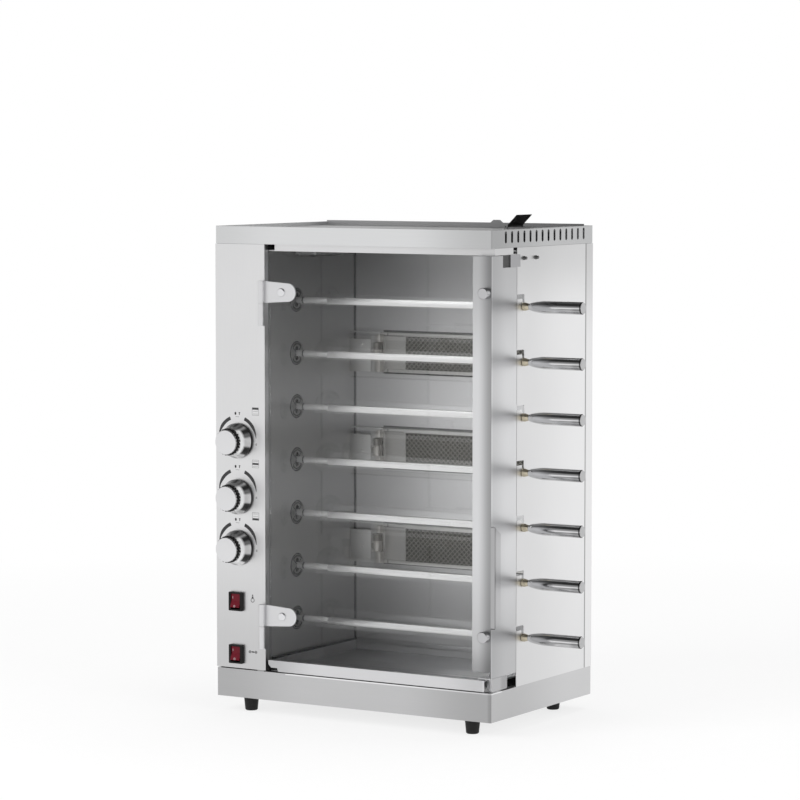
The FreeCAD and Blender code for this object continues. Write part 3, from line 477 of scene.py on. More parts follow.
def rgba(colour: Colour) -> tuple[float, float, float, float]:
    """Adds full cover to a colour."""
    return (*colour, 1.0)


class SharedEffects:
    """The node groups that several finishes use, each built once."""

    def __init__(self) -> None:
        """Builds the three groups."""
        self.grain = self._grain()
        self.smudge = self._smudge()
        self.speckle = self._speckle()

    @staticmethod
    def _group(name: str, numbers: dict[str, float]) -> tuple[Board, bpy.types.Node, bpy.types.Node]:
        """Starts a group with a place on the surface, some numbers and a mask.

        Args:
            name: The group's name.
            numbers: Its number inputs, each with a usual value.

        Returns:
            The board, its input node and its output node.
        """
        tree = bpy.data.node_groups.new(name, "ShaderNodeTree")
        tree.interface.new_socket("Place", in_out="INPUT", socket_type="NodeSocketVector")
        for label, value in numbers.items():
            socket = tree.interface.new_socket(label, in_out="INPUT", socket_type="NodeSocketFloat")
            socket.default_value = value
        tree.interface.new_socket("Mask", in_out="OUTPUT", socket_type="NodeSocketFloat")
        board = Board(tree)
        return board, board.node("NodeGroupInput"), board.node("NodeGroupOutput")

    def _grain(self) -> bpy.types.NodeTree:
        """Fine brushed lines: noise on a place that the finish has stretched."""
        board, given, result = self._group("brushed_grain", {"Fineness": 900.0, "Contrast": 1.0})
        fine = board.node("ShaderNodeTexNoise", {"Vector": given.outputs["Place"],
                                                 "Scale": given.outputs["Fineness"], "Detail": 3.0,
                                                 "Roughness": 0.65})
        return self._spread(board, fine, given, result)

    def _smudge(self) -> bpy.types.NodeTree:
        """Broad soft clouds from handling and wiping."""
        board, given, result = self._group("wiped_smudge", {"Size": 9.0, "Contrast": 1.6})
        broad = board.node("ShaderNodeTexNoise", {"Vector": given.outputs["Place"],
                                                  "Scale": given.outputs["Size"], "Detail": 4.0,
                                                  "Roughness": 0.55, "Distortion": 0.4})
        return self._spread(board, broad, given, result)

    @staticmethod
    def _spread(board: Board, noise: bpy.types.Node, given: bpy.types.Node,
                result: bpy.types.Node) -> bpy.types.NodeTree:
        """Spreads a noise about its middle by the group's contrast and gives it out as the mask."""
        centred = board.math("SUBTRACT", noise.outputs[0], 0.5)
        strong = board.math("MULTIPLY", centred, given.outputs["Contrast"])
        board.fill(result, {"Mask": board.math("ADD", strong, 0.5)})
        return board.tree

    def _speckle(self) -> bpy.types.NodeTree:
        """Small pits, as on moulded plastic, rubber and cast metal."""
        board, given, result = self._group("moulded_speckle", {"Fineness": 1400.0})
        cells = board.node("ShaderNodeTexVoronoi", {"Vector": given.outputs["Place"],
                                                    "Scale": given.outputs["Fineness"]})
        fine = board.node("ShaderNodeTexNoise", {"Vector": given.outputs["Place"],
                                                 "Scale": given.outputs["Fineness"], "Detail": 2.0})
        board.fill(result, {"Mask": board.math("MULTIPLY", cells.outputs["Distance"], fine.outputs[0])})
        return board.tree


@dataclass(frozen=True)
class Tone:
    """A change of tone that grows along one axis of the casing, in millimetres.

    It paints light and shade into the colour, such as a broad soft reflection, a highlight along an
    edge and the shade in a corner, a recess, a groove and a seam. Low and high bound the box that it
    keeps to, rows repeats it from a height at a pitch, and fade lets it grow along a second axis too.
    """

    factor: float
    axis: int
    start: float
    end: float
    low: tuple[Optional[float], ...] = (None, None, None)
    high: tuple[Optional[float], ...] = (None, None, None)
    rows: Optional[tuple[float, float]] = None
    fade: Optional[tuple[int, float, float]] = None

    def apply(self, board: "Board", parts: list[bpy.types.NodeSocket],
              colour: bpy.types.NodeSocket) -> bpy.types.NodeSocket:
        """Multiplies the colour where the tone reaches.

        Args:
            board: The material's board.
            parts: The place on the surface, as casing millimetres along each axis.
            colour: The colour so far.

        Returns:
            The changed colour.
        """
        along = parts[self.axis]
        if self.rows:
            first, pitch = self.rows
            along = board.math("WRAP", board.math("SUBTRACT", along, first), pitch / 2.0, -pitch / 2.0)
        mask = self._eased(board, along, self.start, self.end)
        if self.fade:
            axis, start, end = self.fade
            mask = board.math("MULTIPLY", mask, self._eased(board, parts[axis], start, end))
        for part, low, high in zip(parts, self.low, self.high):
            if low is not None:
                mask = board.math("MULTIPLY", mask, board.math("GREATER_THAN", part, low))
            if high is not None:
                mask = board.math("MULTIPLY", mask, board.math("LESS_THAN", part, high))
        return board.mixed(mask, colour, rgba((self.factor,) * 3), "MULTIPLY")

    @staticmethod
    def _eased(board: "Board", value: bpy.types.NodeSocket, start: float,
               end: float) -> bpy.types.NodeSocket:
        """Grows softly from nothing at the start to one at the end."""
        made = board.node("ShaderNodeMapRange", {"Value": value, "From Min": start, "From Max": end},
                          interpolation_type="SMOOTHSTEP")
        return made.outputs[0]


class Brushing(Enum):
    """The way that a metal's fine lines run, as the stretch of its grain."""

    UPRIGHT = (1.0, 1.0, 0.02)
    ACROSS = (0.02, 1.0, 1.0)
    NONE = (1.0, 1.0, 1.0)


@dataclass(frozen=True)
class MetalFinish:
    """A bare or plated metal with brushed lines and wiped clouds."""

    name: str
    colour: Colour
    shade: Colour
    roughness: float
    spread: float = 0.08
    brushing: Brushing = Brushing.UPRIGHT
    fineness: float = 900.0
    depth: float = 0.03
    metallic: float = 1.0
    cloud: float = 9.0
    tones: tuple[Tone, ...] = ()
    attribute: str = ""

    def build(self, effects: SharedEffects) -> bpy.types.Material:
        """Makes the finish's material.

        Args:
            effects: The shared node groups.

        Returns:
            The material.
        """
        board = Surface(self.name)
        stretched = board.node("ShaderNodeMapping", {"Vector": board.place, "Scale": self.brushing.value})
        grain = board.effect(effects.grain, stretched.outputs[0], Fineness=self.fineness)
        smudge = board.effect(effects.smudge, board.place, Size=self.cloud)
        tone = board.math("MULTIPLY_ADD", grain, 0.55, board.math("MULTIPLY", smudge, 0.45))
        colour = self._toned(board, board.mixed(tone, rgba(self.shade), rgba(self.colour)))
        if self.attribute:
            # The attribute holds a painted reflection, multiplied into the colour.
            painted_sheen = board.node("ShaderNodeAttribute", attribute_name=self.attribute)
            colour = board.mixed(1.0, colour, painted_sheen.outputs["Color"], "MULTIPLY")
        board.fill(board.shader, {"Base Color": colour, "Metallic": self.metallic,
                                  "Roughness": board.about(smudge, self.roughness, self.spread, self.spread),
                                  "Normal": board.bump(grain, self.depth, 0.0004)})
        return board.material

    def _toned(self, board: Surface, colour: bpy.types.NodeSocket) -> bpy.types.NodeSocket:
        """Lays every tone of painted light and shade over the colour.

        Args:
            board: The material's board.
            colour: The metal's colour.

        Returns:
            The colour with its tones.
        """
        if not self.tones:
            return colour
        split = board.node("ShaderNodeSeparateXYZ", {"Vector": board.place})
        parts = [board.math("MULTIPLY_ADD", split.outputs[axis], 1000.0, FLOOR_CENTRE[axis])
                 for axis in range(3)]
        for tone in self.tones:
            colour = tone.apply(board, parts, colour)
        return colour


@dataclass(frozen=True)
class WovenFinish:
    """The burners' heat-dulled wire mesh: crossed slanting wires with dark gaps."""

    name: str
    wire: Colour
    gap: Colour
    pitch: float = 7.0
    roughness: float = 0.45

    def build(self, effects: SharedEffects) -> bpy.types.Material:
        """Makes the finish's material.

        Args:
            effects: The shared node groups.

        Returns:
            The material.
        """
        board = Surface(self.name)
        wires = []
        for pitch in (self.pitch, self.pitch / 3.0):
            for share in (1.0, -1.0):
                slant = Vector((share, 0.0, 1.0)) * (2.0 * math.pi / mm(pitch) / math.sqrt(2.0))
                phase = board.node("ShaderNodeVectorMath", {0: board.place, 1: tuple(slant)},
                                   operation="DOT_PRODUCT")
                wave = board.math("COSINE", phase.outputs["Value"])
                wires.append(board.ranged(wave, 0.0, 1.0, 0.2, 0.9))
        coarse = board.math("MAXIMUM", wires[0], wires[1])
        fine = board.math("MAXIMUM", wires[2], wires[3])
        mask = board.math("MULTIPLY_ADD", fine, 0.45, board.math("MULTIPLY", coarse, 0.55))
        cloud = board.effect(effects.smudge, board.place, Size=24.0)
        sooty = board.math("MULTIPLY", mask, board.ranged(cloud, 0.7, 1.0))
        board.fill(board.shader, {"Base Color": board.mixed(sooty, rgba(self.gap), rgba(self.wire)),
                                  "Roughness": board.about(cloud, self.roughness, 0.1, 0.15),
                                  "Normal": board.bump(mask, 0.6, 0.0008), "Metallic": 0.8})
        return board.material


@dataclass(frozen=True)
class MouldedFinish:
    """Plastic, rubber, paint or ink with a fine pitted skin."""

    name: str
    colour: Colour
    shade: Colour
    roughness: float
    fineness: float = 1400.0
    depth: float = 0.15
    gloss: float = 0.3
    coat: float = 0.0

    def build(self, effects: SharedEffects) -> bpy.types.Material:
        """Makes the finish's material.

        Args:
            effects: The shared node groups.

        Returns:
            The material.
        """
        board = Surface(self.name)
        pits = board.effect(effects.speckle, board.place, Fineness=self.fineness)
        cloud = board.effect(effects.smudge, board.place, Size=40.0)
        board.fill(board.shader, {"Base Color": board.mixed(cloud, rgba(self.shade), rgba(self.colour)),
                                  "Roughness": board.about(cloud, self.roughness, 0.06, 0.06),
                                  "Normal": board.bump(pits, self.depth, 0.0002),
                                  "Specular IOR Level": self.gloss, "Coat Weight": self.coat,
                                  "Coat Roughness": 0.15})
        return board.material


@dataclass(frozen=True)
class GlassFinish:
    """Clear tempered glass with a faint tint and wiped marks."""

    name: str
    tint: Colour
    cover: float
    roughness: float = 0.03

    def build(self, effects: SharedEffects) -> bpy.types.Material:
        """Makes the finish's material.

        Args:
            effects: The shared node groups.

        Returns:
            The material.
        """
        board = Surface(self.name)
        cloud = board.effect(effects.smudge, board.place, Size=6.0)
        board.fill(board.shader, {"Base Color": rgba(self.tint), "Metallic": 0.0,
                                  "Roughness": board.ranged(cloud, self.roughness, self.roughness * 2.0),
                                  "Transmission Weight": 1.0, "IOR": 1.45, "Alpha": self.cover})
        return board.material


class Finish(Enum):
    """Every finish on the machine."""

    # The tones on these finishes paint light and shade into the colour.
    SATIN_STEEL = MetalFinish("satin_steel", (0.80, 0.80, 0.81), (0.71, 0.71, 0.72), 0.36)
    # Painted shade: darker towards the bottom.
    PANEL_STEEL = MetalFinish(
        "panel_steel", (0.78, 0.78, 0.785), (0.71, 0.71, 0.715), 0.38,
        tones=(Tone(0.80, 2, 330.0, 60.0),))
    # Painted shade: darker towards the front, the top and the bottom, and a dark painted shade line at the
    # rear seam.
    SIDE_STEEL = MetalFinish(
        "side_steel", (0.89, 0.89, 0.895), (0.82, 0.82, 0.825), 0.40,
        tones=(Tone(0.87, 1, 330.0, 90.0), Tone(0.79, 2, 700.0, 830.0), Tone(0.95, 2, 330.0, 90.0),
               Tone(0.35, 1, 341.8, 343.6)))
    # Painted shade: darker towards the top and forward of y 345.5.
    WRAP_STEEL = MetalFinish(
        "wrap_steel", (0.88, 0.88, 0.885), (0.80, 0.80, 0.805), 0.38,
        tones=(Tone(0.73, 2, 640.0, 830.0), Tone(0.6, 1, 347.5, 345.5, high=(None, 348.0, None))))
    # Painted light and shade: the front darker towards both ends, the right side darker towards the front, a
    # dark line at the top edge and the top face darker still, most to the right.
    CAP_STEEL = MetalFinish(
        "cap_steel", (0.76, 0.765, 0.77), (0.68, 0.685, 0.69), 0.34, brushing=Brushing.ACROSS,
        tones=(Tone(0.90, 0, 140.0, 10.0), Tone(0.72, 0, 400.0, 575.0),
               Tone(0.74, 1, 230.0, 0.5, low=(578.0, None, None)), Tone(0.44, 2, 862.0, 862.3),
               Tone(0.30, 0, 60.0, 560.0, low=(None, None, 862.1))))
    # Painted light and shade: the front darker towards both ends and near its right corner, the right side
    # lighter towards the back, and a painted highlight along the top edge.
    PLINTH_STEEL = MetalFinish(
        "plinth_steel", (0.59, 0.59, 0.595), (0.53, 0.53, 0.535), 0.34, brushing=Brushing.ACROSS,
        tones=(Tone(0.80, 0, 200.0, 10.0, high=(None, 2.0, None)),
               Tone(0.74, 0, 380.0, 570.0, high=(None, 2.0, None)), Tone(0.93, 0, 578.4, 579.4),
               Tone(1.22, 1, 60.0, 300.0, low=(578.0, None, None)),
               Tone(0.78, 0, 571.0, 577.0, high=(None, 2.0, None)),
               Tone(1.55, 2, 49.2, 50.2, low=(150.0, None, None), high=(None, 40.0, None))))
    # Painted shade: darker towards the right.
    HEADER_STEEL = MetalFinish(
        "header_steel", (0.75, 0.75, 0.755), (0.68, 0.68, 0.685), 0.34, brushing=Brushing.ACROSS,
        tones=(Tone(0.84, 0, 380.0, 565.0),))
    # Painted shade: darker towards the right.
    TOP_STEEL = MetalFinish(
        "top_steel", (0.50, 0.50, 0.505), (0.41, 0.41, 0.415), 0.36,
        tones=(Tone(0.58, 0, 100.0, 520.0),))
    # Painted light and shade: the front face darker towards its right edge and its bottom, darker towards
    # the top and the bottom, the side darker towards the front, with a painted highlight along its front
    # edge.
    STILE_STEEL = MetalFinish(
        "stile_steel", (0.745, 0.748, 0.758), (0.655, 0.658, 0.668), 0.34,
        tones=(Tone(0.49, 0, 552.0, 580.0, high=(None, -0.3, None)), Tone(0.68, 2, 600.0, 815.0),
               Tone(0.74, 2, 320.0, 90.0), Tone(0.68, 2, 140.0, 86.0, high=(None, -0.3, None)),
               Tone(0.85, 1, 60.0, 0.0, low=(None, -0.3, None)),
               Tone(1.18, 1, 6.0, 0.5, low=(None, -0.3, None))))
    # Painted shade: dark lines along the front edge, the outer face and both ends.
    PULL_STEEL = MetalFinish(
        "pull_steel", (0.70, 0.70, 0.71), (0.61, 0.61, 0.62), 0.34,
        tones=(Tone(0.66, 1, 4.0, 1.5), Tone(0.80, 0, 587.2, 587.8), Tone(0.30, 2, 168.6, 167.0),
               Tone(0.55, 2, 344.2, 345.4)))
    # Painted shade: darker towards the top, the bottom and the left, near black in the left corner.
    CHAMBER_STEEL = MetalFinish(
        "chamber_steel", (0.86, 0.86, 0.87), (0.74, 0.74, 0.75), 0.42, spread=0.1, metallic=0.8,
        tones=(Tone(0.58, 2, 560.0, 800.0), Tone(0.66, 2, 380.0, 90.0), Tone(0.80, 0, 330.0, 120.0),
               Tone(0.22, 0, 107.5, 104.5)))
    # A darker copy of the chamber steel for the shaded left wall: painted shade, darker towards the top and
    # the bottom and near black in the back corner.
    CHAMBER_SIDE = MetalFinish(
        "chamber_side_steel", (0.47, 0.47, 0.47), (0.38, 0.38, 0.38), 0.42, spread=0.1, metallic=0.8,
        tones=(Tone(0.60, 2, 600.0, 800.0), Tone(0.20, 1, 308.0, 311.0), Tone(0.84, 2, 160.0, 85.0)))
    # Painted shade: near black on everything behind the disc's face, its slot and its rim.
    DISC_STEEL = MetalFinish(
        "disc_steel", (0.33, 0.33, 0.33), (0.26, 0.26, 0.26), 0.42, metallic=0.8,
        tones=(Tone(0.10, 0, 103.0, 102.4),))
    # Painted light and shade: dark lines along the walls and the rim tops, near black in the recess under
    # the lip, lighter where the floor and the right end of the recess catch light, and darker towards the
    # left, at the lip's right end and on the outer right side.
    TRAY_STEEL = MetalFinish(
        "tray_steel", (0.74, 0.74, 0.75), (0.64, 0.64, 0.65), 0.37, brushing=Brushing.ACROSS,
        tones=(Tone(0.96, 1, 16.8, 17.6, high=(562.6, 307.0, 56.0)),
               Tone(0.50, 1, 302.0, 306.8, high=(562.6, 307.6, 56.0)),
               Tone(0.86, 1, 16.8, 17.6, low=(None, None, 54.0), high=(110.2, 307.0, None)),
               Tone(0.12, 2, 71.6, 72.8, low=(None, 17.0, None), high=(110.2, None, None)),
               Tone(0.66, 1, 307.0, 307.6, high=(562.6, None, None)),
               Tone(0.85, 0, 470.0, 560.0, high=(563.0, 2.0, None)),
               Tone(1.60, 0, 350.0, 440.0, low=(None, 17.6, None), high=(562.6, 300.0, 56.0),
                    fade=(1, 215.0, 168.0)),
               Tone(0.06, 1, 14.5, 15.8, high=(545.0, 16.6, None)),
               Tone(1.40, 0, 546.0, 556.0, low=(None, 1.4, 57.0), high=(572.8, 24.0, 73.4)),
               Tone(0.15, 0, 565.0, 565.4, low=(None, 60.0, None), high=(566.5, None, None)),
               Tone(0.70, 0, 578.6, 579.4), Tone(0.80, 1, 30.0, 42.0, low=(579.0, None, None)),
               Tone(0.73, 0, 220.0, 113.0)))
    SPIT_STEEL = MetalFinish(
        "spit_steel", (0.84, 0.84, 0.84), (0.77, 0.77, 0.77), 0.32, brushing=Brushing.ACROSS,
        fineness=1500.0)
    # Painted shade: near black in the groove and darker from the groove to the blade.
    SHANK_STEEL = MetalFinish(
        "shank_steel", (0.54, 0.54, 0.54), (0.46, 0.46, 0.46), 0.62, metallic=0.45,
        brushing=Brushing.ACROSS, fineness=1500.0,
        tones=(Tone(0.16, 0, 121.0, 120.4, low=(117.4, None, None)), Tone(0.80, 0, 118.0, 117.0)))
    # Near black, for the painted shade of the discs' slots.
    SOCKET_DARK = MetalFinish(
        "socket_dark", (0.055, 0.055, 0.055), (0.035, 0.035, 0.035), 0.55, metallic=0.5)
    # Painted reflection: dark and bright bands along each handle, and painted shade on the chamfer near its
    # end.
    HANDLE_STEEL = MetalFinish(
        "handle_steel", (0.74, 0.74, 0.75), (0.66, 0.66, 0.67), 0.14, spread=0.04,
        brushing=Brushing.ACROSS, fineness=2200.0, depth=0.02,
        tones=(Tone(0.35, 2, 0.9, 2.6, rows=HANDLE_ROWS, fade=(0, 606.0, 650.0)),
               Tone(1.50, 2, 3.0, 4.6, rows=HANDLE_ROWS, fade=(0, 606.0, 650.0)),
               Tone(0.40, 2, -0.2, -1.1, rows=HANDLE_ROWS, fade=(0, 632.0, 664.0)),
               Tone(2.10, 2, -1.4, -4.4, rows=HANDLE_ROWS, fade=(0, 632.0, 664.0)),
               Tone(0.88, 2, 1.0, -3.0, rows=HANDLE_ROWS), Tone(0.62, 2, -8.6, -10.8, rows=HANDLE_ROWS),
               Tone(3.40, 2, 8.2, 9.8, rows=HANDLE_ROWS),
               Tone(0.70, 2, 1.0, -0.2, rows=HANDLE_ROWS, fade=(0, 676.0, 690.0)),
               Tone(0.16, 0, 696.4, 697.4, high=(699.2, None, None))))
    HANDLE_END = MetalFinish(
        "handle_end", (0.52, 0.52, 0.525), (0.46, 0.46, 0.465), 0.5, metallic=0.35,
        brushing=Brushing.NONE)
    CHROME = MetalFinish(
        "knob_chrome", (0.92, 0.92, 0.925), (0.88, 0.88, 0.885), 0.20, spread=0.04, metallic=0.35,
        brushing=Brushing.NONE, depth=0.01, attribute="sheen")
    KNOB_CAP = MetalFinish(
        "knob_cap_steel", (0.76, 0.76, 0.77), (0.71, 0.71, 0.72), 0.33, brushing=Brushing.ACROSS,
        fineness=1800.0)
    # Painted highlight: lighter on the clamps at the hinge side.
    CLAMP_STEEL = MetalFinish(
        "clamp_steel", (0.56, 0.56, 0.57), (0.48, 0.48, 0.49), 0.30, brushing=Brushing.NONE,
        tones=(Tone(1.45, 0, 210.0, 200.0),))
    HINGE_STEEL = MetalFinish(
        "hinge_steel", (0.74, 0.74, 0.75), (0.67, 0.67, 0.68), 0.38, brushing=Brushing.ACROSS)
    CATCH_STEEL = MetalFinish("catch_steel", (0.42, 0.42, 0.43), (0.34, 0.34, 0.35), 0.36)
    GEAR_STEEL = MetalFinish("gear_steel", (0.20, 0.20, 0.20), (0.13, 0.13, 0.13), 0.40)
    BEARING_METAL = MetalFinish("bearing_metal", (0.05, 0.05, 0.05), (0.03, 0.03, 0.03), 0.55)
    # Painted shade and highlight: near black along the back edge, dark lines at each burner's top and near
    # its left end, and a painted highlight just above the top line.
    BURNER_STEEL = MetalFinish(
        "burner_steel", (0.70, 0.695, 0.68), (0.54, 0.535, 0.525), 0.40, brushing=Brushing.ACROSS,
        metallic=0.8,
        tones=(Tone(0.12, 1, 312.5, 313.5), Tone(0.45, 0, 184.2, 185.2, high=(187.2, 297.6, None)),
               Tone(0.40, 2, 29.4, 30.4, high=(222.0, 298.4, None), rows=BURNER_ROWS),
               Tone(2.50, 2, 31.8, 32.6, high=(222.0, 298.4, None), rows=BURNER_ROWS)))
    # Painted shade: darker towards the left.
    SHIELD_STEEL = MetalFinish(
        "shield_steel", (0.66, 0.66, 0.655), (0.54, 0.54, 0.535), 0.44, brushing=Brushing.ACROSS,
        metallic=0.8,
        tones=(Tone(0.72, 0, 140.0, 104.0),))
    PILOT_METAL = MetalFinish("pilot_metal", (0.72, 0.70, 0.67), (0.52, 0.505, 0.48), 0.45, metallic=0.7)
    PILOT_DARK = MetalFinish("pilot_dark", (0.40, 0.385, 0.36), (0.24, 0.23, 0.215), 0.5, metallic=0.7)
    BRASS = MetalFinish("brass", (0.70, 0.64, 0.50), (0.54, 0.48, 0.36), 0.30, brushing=Brushing.NONE)
    PIPE_METAL = MetalFinish("pipe_metal", (0.62, 0.60, 0.55), (0.48, 0.46, 0.42), 0.35)
    MOTOR_PAINT = MouldedFinish("motor_paint", (0.06, 0.065, 0.07), (0.04, 0.042, 0.045), 0.45)
    BURNER_MESH = WovenFinish("burner_mesh", (0.40, 0.39, 0.36), (0.035, 0.035, 0.033))
    TEMPERED_GLASS = GlassFinish("tempered_glass", (0.97, 0.99, 0.985), 0.16)
    LAMP_GLASS = GlassFinish("lamp_glass", (0.95, 0.95, 0.92), 0.5, roughness=0.3)
    BLACK_PLASTIC = MouldedFinish(
        "black_plastic", (0.009, 0.008, 0.008), (0.005, 0.005, 0.005), 0.42, gloss=0.2)
    ROCKER_RED = MouldedFinish("rocker_red", (0.135, 0.005, 0.014), (0.10, 0.003, 0.010), 0.35, gloss=0.2)
    PRINT_INK = MouldedFinish("print_ink", (0.05, 0.05, 0.052), (0.035, 0.035, 0.036), 0.6)
    FAINT_INK = MouldedFinish("faint_ink", (0.34, 0.34, 0.345), (0.28, 0.28, 0.285), 0.6)
    MARK_PALE = MouldedFinish("mark_pale", (0.36, 0.25, 0.26), (0.30, 0.20, 0.21), 0.5)
    MAGNET_GREY = MouldedFinish("magnet_grey", (0.07, 0.07, 0.07), (0.045, 0.045, 0.045), 0.5)
    FOOT_RUBBER = MouldedFinish(
        "foot_rubber", (0.014, 0.014, 0.014), (0.009, 0.009, 0.009), 0.6, fineness=900.0, depth=0.3)
    DAMPER_BLACK = MouldedFinish("damper_black", (0.008, 0.008, 0.008), (0.005, 0.005, 0.005), 0.5)


class Paintbox:
    """Builds each finish when it is first asked for."""

    def __init__(self) -> None:
        """Starts with the shared effects and no finish."""
        self.effects = SharedEffects()
        self.made: dict[Finish, bpy.types.Material] = {}

    def get(self, finish: Finish) -> bpy.types.Material:
        """The material of a finish."""
        if finish not in self.made:
            self.made[finish] = finish.value.build(self.effects)
        return self.made[finish]

    def coat(self, piece: bpy.types.Object, finish: Finish) -> bpy.types.Object:
        """Gives a piece its finish.

        Args:
            piece: A new piece or a CAD node.
            finish: What covers it.

        Returns:
            The same piece.
        """
        material = self.get(finish)
        if not piece.material_slots:
            piece.data.materials.append(material)
        for slot in piece.material_slots:
            slot.material = material
        return piece


CASING_FINISHES: dict[str, Finish] = {
    "base_plinth": Finish.PLINTH_STEEL,
    "rubber_feet": Finish.FOOT_RUBBER,
    "left_side_panel": Finish.SATIN_STEEL,
    "control_panel": Finish.PANEL_STEEL,
    "left_inner_wall": Finish.CHAMBER_SIDE,
    "back_inner_wall": Finish.CHAMBER_STEEL,
    "rear_panel": Finish.WRAP_STEEL,
    "right_side_panel": Finish.SIDE_STEEL,
    "top_cap": Finish.CAP_STEEL,
    "top_plate": Finish.TOP_STEEL,
    "flue_damper": Finish.DAMPER_BLACK,
    "ceiling_panel": Finish.HEADER_STEEL,
    "tray_runners": Finish.TRAY_STEEL,
    "drip_tray": Finish.TRAY_STEEL,
    "drive_bearings": Finish.BEARING_METAL,
    "motor_pinion": Finish.GEAR_STEEL,
    "motor_bracket": Finish.SATIN_STEEL,
    "gearmotor": Finish.MOTOR_PAINT,
    "door_glass": Finish.TEMPERED_GLASS,
    "door_stile": Finish.STILE_STEEL,
    "door_pull": Finish.PULL_STEEL,
    "door_hinge_arms": Finish.HINGE_STEEL,
    "hinge_leaves": Finish.HINGE_STEEL,
    "glass_clamps": Finish.CLAMP_STEEL,
    "catch_bracket": Finish.CATCH_STEEL,
    "catch_magnet": Finish.MAGNET_GREY,
    "burner_housings": Finish.BURNER_STEEL,
    "burner_meshes": Finish.BURNER_MESH,
    "gas_valves": Finish.BRASS,
    "gas_manifold": Finish.PIPE_METAL,
    "burner_pipes": Finish.PIPE_METAL,
    "switch_bezels": Finish.BLACK_PLASTIC,
    "lamp_rocker": Finish.ROCKER_RED,
    "motor_rocker": Finish.ROCKER_RED,
    "lamp_frame": Finish.CHAMBER_STEEL,
    "lamp_lens": Finish.LAMP_GLASS,
    "cable_gland": Finish.BLACK_PLASTIC,
}


@dataclass
class Casing:
    """The CAD pieces that keep their shape and get a finish each."""

    gears: int = 7
    stems: int = 3

    def build(self, paints: Paintbox) -> None:
        """Gives every CAD node its finish.

        Args:
            paints: The finishes.
        """
        chosen = dict(CASING_FINISHES)
        for index in range(1, self.gears + 1):
            chosen[f"drive_gear_{index}"] = Finish.DISC_STEEL
        for index in range(1, self.stems + 1):
            chosen[f"valve_stem_{index}"] = Finish.BRASS
        for name, finish in chosen.items():
            paints.coat(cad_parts[name], finish)
            log.info("finish %s on %s", finish.value.name, name)


